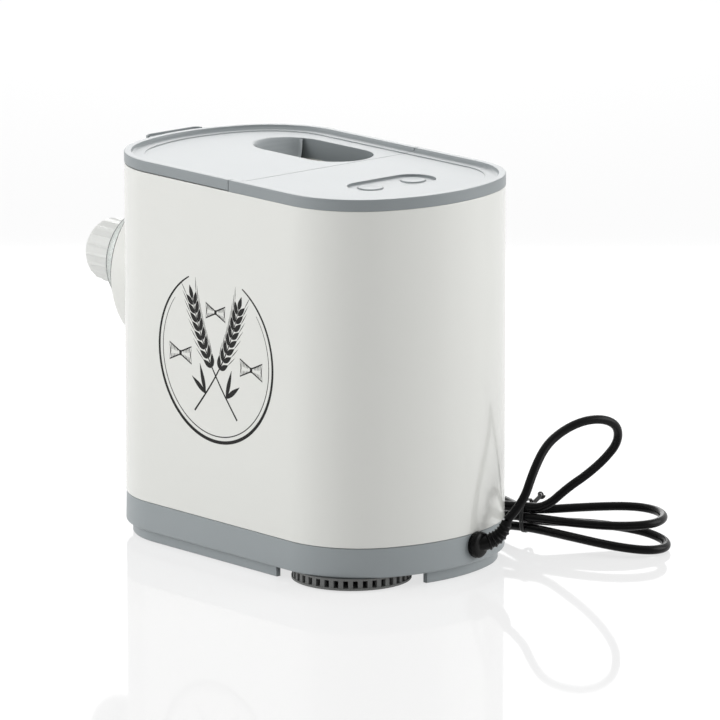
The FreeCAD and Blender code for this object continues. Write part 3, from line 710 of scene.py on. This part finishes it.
def tabLip():
    # upturned edge along the front of the tab
    outer = tabOutline(0.0)[2:]
    inner = tabOutline(tabForm["lipWidth"])[2:]
    low, high = tabForm["lipLow"], tabForm["lipTop"]
    section = [(0.0, low), (0.0, high - 0.5), (0.25, high - 0.1), (0.5, high), (0.75, high - 0.1),
               (1.0, high - 0.5), (1.0, low)]
    rings = []
    for (ox, oy), (ix, iy) in zip(outer, inner):
        rings.append([at(ox + (ix - ox) * t, oy + (iy - oy) * t, z) for t, z in section])
    return ringsToTube(rings)


def makeLid(material):
    centre, size = top["pour"]
    deck = top["deck"]
    rearSide = block(top["across"], (top["seam"] - top["gap"], 300), top["tall"])
    well = stadium(centre, widened(size, top["pourWall"]), top["pourLow"], deck - 1.4, 32, spoon["stretch"])
    opening = stadium(centre, size, 265, body["rim"] + 5, 40, spoon["stretch"])
    inside = planPlate([(1.0, 280), (1.0, 300)])
    tab = facesOf(carve("tab", tabPlate(), [inside], [tabLip()]))
    tongue = block((80, 86), (-1, 9), (262, deck - 2))
    mesh = carve("lid_plate", topBlank(0.7), [rearSide, opening], [well, tab, tongue])
    panel = addObject("lid_panel", mesh, material, "lid")
    ramp = addObject("pour_ramp", meshOf("pour_ramp", *spoonRamp(), 50), material, "lid")
    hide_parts("lid")
    smoothNormals(panel)


# the seal's pale warm colour is a painted highlight for the glint along the bottom of the well
glintSealShape = {"low": 270.6, "high": 274.6, "outside": 3.0, "inside": -1.6, "color": (0.8, 0.78, 0.7)}


def makeGlintSeal():
    # pale seal under the walls of the pour opening; its pale warm colour is a painted highlight, standing
    # in for the glint along the bottom of the well
    centre, size = top["pour"]
    low, high = glintSealShape["low"], glintSealShape["high"]
    outer = stadium(centre, widened(size, glintSealShape["outside"]), low, high, 32, spoon["stretch"])
    inner = stadium(centre, widened(size, glintSealShape["inside"]), low - 2.6, high + 2.4, 32, spoon["stretch"])
    look = makePlain("pourSealGlint", glintSealShape["color"], 0.3)
    piece = addObject("pour_seal_glint", carve("pour_seal_glint", outer, [inner]), look, "lid")


# Extruding end: bezel, clear cover, nut

front = {"bezelRadius": 66.0, "bezelInner": 59.0, "bezelFront": -158.0, "bezelRear": -130.0}


def onScrew(y):
    return at(0, y, body["screwZ"])


def screwTurned(profile, sides):
    # closed ring about the screw axis from (y, radius) pairs
    level = Vector((1, 0, 0))
    return closedRings([circle(onScrew(y), level, upright, radius * mm, sides) for y, radius in profile])


def makeBezel(material):
    outer = front["bezelRadius"]
    inner = front["bezelInner"]
    lip = front["bezelFront"]
    rear = front["bezelRear"]
    profile = [(rear, outer), (lip + 1.6, outer), (lip + 0.8, outer - 0.2), (lip + 0.2, outer - 0.8),
               (lip, outer - 1.6), (lip, inner + 1.0), (lip + 0.4, inner + 0.2), (lip + 1.0, inner),
               (rear, inner)]
    piece = addObject("front_ring", meshOf("front_ring", *screwTurned(profile, 128), 40), material)
    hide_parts("front_bezel")


# half section of the cover as (y, radius) pairs: nose, neck, flange and the spigot behind it
coverSection = [
    (-224, 19.0), (-224, 22.2), (-223.7, 22.5), (-195, 22.5), (-195, 27), (-170.4, 27), (-170, 27.6),
    (-170, 34.4), (-170.4, 35), (-195.6, 35), (-196, 35.4), (-196, 38), (-195.7, 38.7), (-195, 39),
    (-166.2, 39), (-164.4, 39.6), (-163.4, 40.8), (-163.1, 42.6), (-163.1, 61), (-162.6, 61.8),
    (-161.6, 62), (-158.1, 62), (-158.1, 56.2), (-143.6, 56.2), (-143.1, 55.8), (-143.1, 54),
    (-143.6, 53.6), (-160.1, 53.6), (-160.1, 25), (-165.1, 19),
]


def makeCover(material):
    mesh = meshOf("clear_cover", *screwTurned(coverSection, 112), 40)
    piece = addObject("clear_cover", mesh, material, "front_cover")
    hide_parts("front_cover")


nutShape = {"front": -240.0, "ribs": 20, "stepsPerRib": 12, "ribHeight": 0.8}


def makeNut(material):
    # outer face carries shallow grips; the ring at the back and the rounded nose stay plain
    lip = nutShape["front"]
    outer = [(lip, 17.4, 0), (lip, 20.4, 0), (lip + 0.4, 21.8, 0), (lip + 1.4, 23.0, 0.1),
             (lip + 3.4, 23.9, 0.7), (lip + 6, 24.0, 1), (-204, 24.0, 1), (-201, 24.0, 0.6),
             (-199.6, 24.2, 0), (-199.2, 24.9, 0), (-197, 25.0, 0), (-196.4, 24.6, 0)]
    inner = [(-196.4, 22.7, 0), (-232.1, 22.7, 0), (-232.1, 17.0, 0), (lip + 0.4, 17.0, 0)]
    sides = nutShape["ribs"] * nutShape["stepsPerRib"]
    rings = []
    for y, radius, grip in outer + inner:
        ring = []
        for k in range(sides):
            a = 2 * math.pi * k / sides
            rib = nutShape["ribHeight"] * max(0.0, math.cos(nutShape["ribs"] * a)) ** 3
            ring.append(onScrew(y) + Vector((math.cos(a), 0, math.sin(a))) * (radius + grip * rib) * mm)
        rings.append(ring)
    piece = addObject("clamp_nut", meshOf("clamp_nut", *closedRings(rings), 40), material, "nut")
    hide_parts("die_nut")


# Printed roundel on the side: an open ring, two crossed wheat ears and three pasta bows

roundel = {
    "centre": (-2.0, 157.0), "radius": 64.0, "gap": (62, 118), "innerRing": 4.2,
    "innerGap": 22, "ink": (0.011, 0.011, 0.0105), "worn": (0.026, 0.025, 0.024),
    "proud": 0.06,
    "bows": [((-40, -3), 12.5), ((40, -3), 12.5), ((0, 34), 11.0)],
}
wheat = {"steps": 40, "firstGrain": 17, "grain": (10.5, 4.2), "beard": (11.0, 0.6), "leafAt": 7}


def heading(angle):
    return Vector((math.cos(angle), math.sin(angle)))


def stroke(path, widths):
    # flat ribbon along points on the side, as a thin raised print
    left, right = [], []
    for i, point in enumerate(path):
        ahead = path[min(i + 1, len(path) - 1)] - path[max(i - 1, 0)]
        across = Vector((-ahead.y, ahead.x)).normalized() * widths[i] / 2
        left.append(point + across)
        right.append(point - across)
    return strip(left, right)


def strip(left, right):
    points, faces = [], []
    count = len(left)
    for x in (body["halfWidth"] - 0.1, body["halfWidth"] + roundel["proud"]):
        for row in (left, right):
            points += [at(x, p.x + roundel["centre"][0], p.y + roundel["centre"][1]) for p in row]
    for i in range(count - 1):
        for low, high in ((0, count), (count, 3 * count), (3 * count, 2 * count), (2 * count, 0)):
            faces.append((low + i, low + i + 1, high + i + 1, high + i))
    faces.append((0, count, 3 * count, 2 * count))
    end = count - 1
    faces.append((end, 2 * count + end, 3 * count + end, count + end))
    return points, faces


def leafShape(root, angle, length, width, steps=12):
    path = [root + heading(angle) * length * i / steps for i in range(steps + 1)]
    widths = [max(0.08, width * math.sin(math.pi * (i / steps) ** 0.8)) for i in range(steps + 1)]
    return stroke(path, widths)


def arcStroke(radius, first, last, thick, thin, steps=110):
    path, widths = [], []
    for i in range(steps + 1):
        t = i / steps
        path.append(heading(math.radians(first + (last - first) * t)) * radius)
        widths.append(thin + (thick - thin) * math.sin(math.pi * t) ** 0.6)
    return stroke(path, widths)


def wheatEar(sign):
    parts = []
    steps = wheat["steps"]
    path = []
    for i in range(steps + 1):
        t = i / steps
        path.append(Vector((sign * (-24 + 50 * t + 7 * math.sin(math.pi * t)), -44 + 84 * t)))
    parts.append(stroke(path, [1.5 - 0.8 * i / steps for i in range(steps + 1)]))
    for i in range(wheat["firstGrain"], steps, 3):
        ahead = path[min(i + 1, steps)] - path[i - 1]
        angle = math.atan2(ahead.y, ahead.x)
        for side in (-1, 1):
            grain = path[i] + heading(angle + side * 1.4) * 0.9
            parts.append(leafShape(grain, angle + side * 0.5, *wheat["grain"]))
            tip = grain + heading(angle + side * 0.5) * 10.0
            parts.append(leafShape(tip, angle + side * 0.28, *wheat["beard"], 6))
    last = path[-1] - path[-3]
    parts.append(leafShape(path[-1], math.atan2(last.y, last.x), 11.0, 4.2))
    for lean, length in ((0.28, 23.0), (0.95, 19.0)):
        parts.append(leafShape(path[wheat["leafAt"]], math.radians(90) + sign * lean, length, 4.0))
    return parts


def pastaBow(place, size):
    # butterfly shape with hatched wings
    centre = Vector(place)
    parts = []
    for sign in (-1, 1):
        corners = ((0.10, 0.12), (1, 0.52), (0.9, 0), (1, -0.52), (0.10, -0.12))
        outer = [centre + Vector((sign * x, y)) * size for x, y in corners]
        parts.append(stroke(outer, [1.1] * len(outer)))
        for k in range(5):
            reach = 0.3 + 0.13 * k
            tall = 0.09 + 0.36 * reach
            for first, last, widths in ((tall, tall * 0.25, [0.7, 0.3]), (-tall, -tall * 0.4, [0.6, 0.25])):
                ends = [centre + Vector((sign * reach, y)) * size for y in (first, last)]
                parts.append(stroke(ends, widths))
    knot = Vector((0, size * 0.16))
    parts.append(stroke([centre + knot, centre - knot], [2.6, 2.6]))
    return parts


def makeRoundel():
    look = Finish("printInk")
    worn = look.noise(160.0, 5.0, 0.7)
    ink = look.surface(look.blend(worn, roundel["ink"], roundel["worn"]), worn * 0.15 + 0.3,
                       Specular_IOR_Level=0.12)
    radius = roundel["radius"]
    last, first = roundel["gap"]
    parts = [arcStroke(radius, first, 360 + last, 2.6, 0.9)]
    short = roundel["innerGap"]
    parts.append(arcStroke(radius - roundel["innerRing"], first + short, 360 + last - short, 0.8, 0.3))
    for sign in (-1, 1):
        parts += wheatEar(sign)
    for place, size in roundel["bows"]:
        parts += pastaBow(place, size)
    piece = addObject("side_roundel", joinMeshes("side_roundel", parts, 30), ink)


# The mains cord: its route is the drawing's, loop for loop

cord = {
    "diameter": 6.7,
    "gland": (-25.0, 152.7, 23.7),
    "wallNormal": (-25.0, 133.0, 0.0),
    "sleeveAlong": (-18.8, 6.2, 17.3),
    "sleeveLength": 26.0,
    "lead": [(-72, 164, 74), (-88, 160, 90), (-106, 160, 99), (-124, 163, 104), (-142, 166, 103),
             (-157, 165, 95), (-164, 158, 80), (-161, 146, 65), (-154, 134, 52), (-146, 123, 42)],
    "straight": 17,
    "waist": (-123.0, 100.0),
    "waistHeight": 27.0,
    "waistHalf": 1.0,
    "layerStep": 7.6,
    "axis": 109.0,
    "stepsPerTurn": 16,
    "loops": [(272, 88, 41, 22), (134, 106, 64, 20), (268, 79, 40, 13), (120, 112, 54, 3.6)],
    "tail": [(-122, 58, 5.5), (-122, 38, 3.6), (-120, 18, 5.0), (-118, -2, 11.0)],
    "plugEntry": (-117, -22, 16.8),
    "black": (0.0035, 0.0035, 0.0038),
    "dust": (0.007, 0.007, 0.0073),
}


def loopPoint(turnAngle):
    # half turns alternate between the two sides of the waist; 90 degrees is the first pass through it
    index = min(int((turnAngle - 90) // 180), len(cord["loops"]) - 1)
    pointing, reach, bulge, tip = cord["loops"][index]
    angle = math.radians(turnAngle)
    nearness = abs(round(math.cos(angle), 9))
    lateral = math.sin(angle) * (cord["waistHalf"] + bulge * nearness ** 1.1)
    height = cord["waistHeight"] - cord["layerStep"] * (turnAngle - 90) / 360
    height += (tip - height) * math.cos(angle) ** 2
    swing = (pointing - cord["axis"] + 90) % 180 - 90
    side = math.radians(cord["axis"] - 90 + swing * nearness)
    out = heading(math.radians(pointing)) * nearness * reach
    spot = Vector(cord["waist"]) + out + heading(side) * lateral
    return Vector((spot.x, spot.y, height))


def sleeveEnd():
    normal = Vector(cord["wallNormal"]).normalized()
    along = Vector(cord["sleeveAlong"]).normalized()
    return Vector(cord["gland"]) + normal * 6 + along * cord["sleeveLength"]


def cordRoute():
    step = 360 / cord["stepsPerTurn"]
    halfTurns = len(cord["loops"])
    winding = [loopPoint(90 + step * i) for i in range(halfTurns * cord["stepsPerTurn"] // 2 + 1)]
    start = sleeveEnd()
    out = Vector(cord["sleeveAlong"]).normalized()
    joint = (winding[1] - winding[0]).normalized()
    lead = [start, start + out * cord["straight"]] + [Vector(p) for p in cord["lead"]]
    lead.append(winding[0] - joint * cord["straight"])
    tail = [Vector(p) for p in cord["tail"]] + [Vector(cord["plugEntry"])]
    return [at(*point) for point in lead + winding + tail]


def makeCordRubber():
    look = Finish("cordRubber")
    grain = look.noise(3200.0, 2.0, 0.6)
    dust = look.noise(70.0, 5.0, 0.6)
    tone = look.blend(dust, cord["black"], cord["dust"])
    return look.surface(tone, dust * 0.1 + 0.2, Normal=look.bump(grain, 0.00002, 0.4), IOR=1.45,
                        Specular_IOR_Level=0.13)


def lineOf(points):
    # the smooth line through a cord's points, as its length needs
    curve = bpy.data.curves.new("route", "CURVE")
    curve.dimensions = "3D"
    spline = curve.splines.new("NURBS")
    spline.points.add(len(points) - 1)
    for slot, point in zip(spline.points, points):
        slot.co = (*point, 1)
    spline.order_u = 3
    spline.use_endpoint_u = True
    spline.resolution_u = 10
    return curve


def lengthOf(curve):
    carrier = bpy.data.objects.new("measure", curve)
    mesh = bpy.data.meshes.new_from_object(carrier)
    spots = [v.co for v in mesh.vertices]
    total = sum((b - a).length for a, b in zip(spots, spots[1:]))
    bpy.data.objects.remove(carrier)
    bpy.data.meshes.remove(mesh)
    return total


def makeCord(rubber):
    points = cordRoute()
    curve = lineOf(points)
    length = lengthOf(curve)
    curve.bevel_depth = cord["diameter"] / 2 * mm
    curve.bevel_resolution = 8
    curve.use_fill_caps = True
    curve.materials.append(rubber)
    lead = bpy.data.objects.new("mains_lead", curve)
    link(lead)
    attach(lead, "casing")
    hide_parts("cord_lead", "cord_hank")
    return lead, points, length


sleeveShape = {
    "steps": 76, "kneeOut": 9, "knee": (-15, 2, 1), "radius": 6.4, "taper": 2.6, "ribs": 6,
    "ribHeight": 1.15, "ribbed": (0.24, 0.93),
    "rim": [(-0.4, 6.0), (-0.4, 9.6), (0.6, 10.0), (3.6, 10.0), (4.8, 9.3), (5.4, 8.0), (5.6, 5.0)],
}


def makeGland(rubber):
    # flange on the wall, then a ribbed sleeve that bends towards the cord
    normal = Vector(cord["wallNormal"]).normalized()
    start = Vector(cord["gland"])
    end = sleeveEnd()
    knee = start + normal * sleeveShape["kneeOut"] + Vector(sleeveShape["knee"])
    low, high = sleeveShape["ribbed"]
    path, radii = [], []
    for index in range(sleeveShape["steps"] + 1):
        t = index / sleeveShape["steps"]
        radius = sleeveShape["radius"] - sleeveShape["taper"] * t
        if low < t < high:
            wave = math.sin((t - low) / (high - low) * sleeveShape["ribs"] * 2 * math.pi)
            radius += sleeveShape["ribHeight"] * max(0.0, wave) ** 0.5 * (1 - 0.45 * t)
        path.append(at(*start.lerp(knee, t).lerp(knee.lerp(end, t), t)))
        radii.append(radius * mm)
    sleeve = sweep(path, radii, 32)
    flange = turned(sleeveShape["rim"], at(*start), normal, 40)
    neck = turned([(-8, 6), (0, 6)], at(*start), normal, 32)
    gland = addObject("cord_sleeve", joinMeshes("cord_sleeve", [sleeve, flange, neck], 40), rubber)
    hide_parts("cord_gland")
    return gland


plugShape = {
    "height": 16.8, "bootLength": 18, "bootSteps": 36, "bodyStart": 16, "bodyLength": 34.0,
    "body": [(0, 7.4), (1.5, 8.8), (5, 11.6), (9, 14.4), (14, 16.1), (17, 16.4), (18.2, 15.7), (27, 15.7),
             (28.2, 16.4), (32.6, 16.4), (34, 15.2), (34, 5)],
    "bars": 10, "bar": [(-4, 0.2), (-3.6, 0.8), (3.6, 0.8), (4, 0.2)], "barAlong": 22.6,
    "barOut": 15.4, "pinSpread": 9.5,
    "pin": [(-1, 2.4), (16.8, 2.4), (18.3, 1.8), (19.0, 0.8)],
}


def makePlug(rubber, nickel):
    entry = Vector(cord["plugEntry"])
    along = (entry - Vector(cord["tail"][-1])).normalized()
    level = Vector((along.x, along.y, 0)).normalized()
    across = level.cross(upright).normalized()
    start = entry + along * plugShape["bodyStart"]
    start.z = plugShape["height"]
    boot = []
    for index in range(plugShape["bootSteps"] + 1):
        t = index / plugShape["bootSteps"]
        ridge = 0.5 * max(0.0, math.sin(t * 5 * 2 * math.pi)) if t < 0.95 else 0.0
        boot.append((t * plugShape["bootLength"], 4.3 + 3.4 * t ** 1.3 + ridge))
    parts = [turned(boot, at(*entry), along, 32), turned(plugShape["body"], at(*start), level, 56)]
    for index in range(plugShape["bars"]):
        # grip bars around the middle of the plug
        angle = 2 * math.pi * index / plugShape["bars"]
        out = across * math.cos(angle) + upright * math.sin(angle)
        middle = start + level * plugShape["barAlong"] + out * plugShape["barOut"]
        parts.append(turned(plugShape["bar"], at(*middle), level, 10))
    plug = addObject("plug_body", joinMeshes("plug_body", parts, 40), rubber)
    face = start + level * plugShape["bodyLength"]
    pins = []
    for sign in (-1, 1):
        root = face + across * plugShape["pinSpread"] * sign
        pins.append(turned(plugShape["pin"], at(*root), level, 24))
    prongs = addObject("plug_pins", joinMeshes("plug_pins", pins, 40), nickel)
    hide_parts("mains_plug")
    return [plug, prongs]


tie = {
    "shift": -3.3, "halfWide": 9.0, "halfHigh": 12.1, "wire": 0.75, "turnsAt": (-1.0, 0.9),
    "bendSteps": 48, "twists": 5, "twistSteps": 60, "twistRadius": 0.95, "endLength": 15.0,
    "coat": (0.012, 0.012, 0.012), "worn": (0.03, 0.03, 0.03),
}


def makeTie():
    # coated wire bent round the bundle, its two ends twisted together
    look = Finish("tieWire")
    rib = look.noise(1500.0, 2.0)
    coat = look.surface(look.blend(rib, tie["coat"], tie["worn"]), rib * 0.2 + 0.35,
                        Normal=look.bump(rib, 0.00005, 0.4))
    side = math.radians(cord["axis"] - 90)
    across = heading(side).to_3d()
    along = heading(side + math.pi / 2).to_3d()
    middle = Vector((*cord["waist"], cord["waistHeight"] - cord["layerStep"] - 0.2)) + across * tie["shift"]
    paths = []
    for turn in tie["turnsAt"]:
        path = []
        for index in range(tie["bendSteps"] + 1):
            angle = 2 * math.pi * index / tie["bendSteps"]
            bulge = (abs(math.cos(angle)) ** 3 + abs(math.sin(angle)) ** 3) ** (-1 / 3)
            path.append(middle + across * tie["halfWide"] * math.cos(angle) * bulge
                        + upright * tie["halfHigh"] * math.sin(angle) * bulge + along * turn)
        paths.append((path, 10))
    root = middle - across * tie["halfWide"] + upright * (tie["halfHigh"] - 5)
    out = (-across + upright * 0.25).normalized()
    for phase in (0, math.pi):
        path = []
        for index in range(tie["twistSteps"] + 1):
            t = index / tie["twistSteps"]
            angle = phase + t * tie["twists"] * 2 * math.pi
            spread = tie["twistRadius"] + max(0.0, t - 0.8) * 9
            path.append(root + out * tie["endLength"] * t + along * math.cos(angle) * spread
                        + upright * math.sin(angle) * spread)
        paths.append((path, 8))
    parts = [sweep([at(*p) for p in path], [tie["wire"] * mm] * len(path), sides) for path, sides in paths]
    piece = addObject("twist_tie", joinMeshes("twist_tie", parts, 60), coat)
    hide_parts("cord_tie")
    return piece


# Camera: long lens, from behind the machine and to the side with the print

view = {
    "place": (3731.63, 4242.28, 1415.18), "aim": (-0.64875, -0.72852, -0.21997),
    "lens": 387.37, "farthest": 50.0,
}


def makeCamera():
    data = bpy.data.cameras.new("camera")
    data.lens = view["lens"]
    data.clip_end = view["farthest"]
    camera = bpy.data.objects.new("camera", data)
    camera.location = at(*view["place"])
    camera.rotation_euler = Vector(view["aim"]).to_track_quat("-Z", "Y").to_euler()
    link(camera)
    bpy.context.scene.camera = camera


# Studio: white floor and surroundings, large soft lamps

studio = {
    "world": 0.5,
    "dimSide": (0.65, 0.73, 0.2),
    "dimming": 0.7,
    "falloff": 0.8,
    "floorSpan": 6.0,
    "floorSeen": 0.7,
    "floorMirrored": 0.8,
    "lamps": [
        ("keyLight", (2.3, -1.5, 1.2), (0, 0.04, 0.15), (2.3, 2.3), 39.0),
        ("rearLight", (-2.3, 1.9, 1.1), (0, 0.04, 0.15), (2.1, 2.1), 42.0),
        ("overLight", (0.2, -0.2, 2.4), (0, 0.04, 0.15), (1.6, 1.6), 5.0),
        ("glareLight", (-1.64, -1.8, 0.86), (0, 0.04, 0.29), (1.3, 1.1), 11.0),
    ],
}


def rayKinds(tree):
    # 1 for the kind of ray that asks, 0 for the others
    paths = tree.nodes.new("ShaderNodeLightPath")
    return [Wire(paths.outputs[f"Is {kind} Ray"]) for kind in ("Camera", "Glossy", "Transmission")]


def makeFloor():
    look = Finish("studioFloor")
    mottle = look.noise(3.0, 2.0)
    tone = look.blend(mottle, (0.9, 0.9, 0.9), (0.88, 0.88, 0.885))
    lit = look.node("ShaderNodeBsdfPrincipled", {}, {"Base Color": tone, "Roughness": 0.05, "IOR": 1.4})
    glow = look.node("ShaderNodeEmission", {}, {"Color": (1, 1, 1, 1), "Strength": 1.0})
    seen, glance, through = rayKinds(look.tree)
    share = seen * studio["floorSeen"] + (glance + through).atMost(1.0) * studio["floorMirrored"]
    mixed = look.node("ShaderNodeMixShader", {},
                      {"Fac": share.atMost(1.0), "Shader": lit, "Shader_001": glow})
    material = look.finish(mixed)
    span = studio["floorSpan"]
    corners = [(-span, -span, 0), (span, -span, 0), (span, span, 0), (-span, span, 0)]
    mesh = bpy.data.meshes.new("floor")
    mesh.from_pydata(corners, [], [(0, 1, 2, 3)])
    floor = bpy.data.objects.new("floor", mesh)
    floor.data.materials.append(material)
    link(floor)


def makeWorld():
    world = bpy.data.worlds.new("studio")
    bpy.context.scene.world = world
    world.use_nodes = True
    tree = world.node_tree
    tree.nodes.clear()
    seen, glance, through = rayKinds(tree)
    bright = (seen + through).atMost(1.0)
    # the room is dimmer on the side that the rear wall faces, and reflections show it
    place = tree.nodes.new("ShaderNodeTexCoord")
    facing = tree.nodes.new("ShaderNodeVectorMath")
    facing.operation = "DOT_PRODUCT"
    tree.links.new(place.outputs["Generated"], facing.inputs[0])
    facing.inputs[1].default_value = studio["dimSide"]
    dim = 1.0 - Wire(facing.outputs["Value"]).atLeast(0.0) ** studio["falloff"] * studio["dimming"]
    ambient = (1.0 - glance) * studio["world"] + glance * dim
    strength = bright + (1.0 - bright) * ambient
    background = tree.nodes.new("ShaderNodeBackground")
    background.inputs["Color"].default_value = (1, 1, 1, 1)
    tree.links.new(strength.socket, background.inputs["Strength"])
    end = tree.nodes.new("ShaderNodeOutputWorld")
    tree.links.new(background.outputs[0], end.inputs["Surface"])


def addLamp(name, place, aimAt, size, power):
    data = bpy.data.lights.new(name, "AREA")
    data.shape = "RECTANGLE"
    data.size, data.size_y = size
    data.energy = power
    lamp = bpy.data.objects.new(name, data)
    lamp.location = place
    lamp.rotation_euler = (Vector(aimAt) - Vector(place)).to_track_quat("-Z", "Y").to_euler()
    link(lamp)


def makeStudio():
    makeFloor()
    makeWorld()
    for lamp in studio["lamps"]:
        addLamp(*lamp)
    bpy.context.scene.view_settings.view_transform = "Standard"


def main():
    makeCamera()
    print("camera set")
    rubber = makeCordRubber()
    lead, points, length = makeCord(rubber)
    gland = makeGland(rubber)
    plug = makePlug(rubber, makeTurned("nickelPin", (0.66, 0.64, 0.6), 0.2))
    binder = makeTie()
    print("cord laid", round(length, 3))
    shared = {
        "white": makeWhiteShell(),
        "base": makeGreyTrim("greyBase", 1.03, 0.34),
        "top": makeGreyTrim("greyTop", 0.9, 0.3),
        "keys": makeGreyTrim("greyButton", 0.98, 0.32),
        "clear": makeClear(),
        "moulded": makePlain("whiteMoulding", (0.79, 0.8, 0.775), 0.28),
    }
    dressFrame(shared)
    print("frame dressed")
    makeCasing(shared["white"])
    makeBase(shared["base"])
    print("casing and base built")
    makeRearTop(shared["top"])
    makeLid(shared["top"])
    makeGlintSeal()
    makeKeys(shared["keys"])
    print("top and keys built")
    makeBezel(shared["white"])
    makeCover(shared["clear"])
    makeNut(shared["moulded"])
    print("front end built")
    makeRoundel()
    print("roundel printed")
    makeStudio()
    print("studio lit")


main()
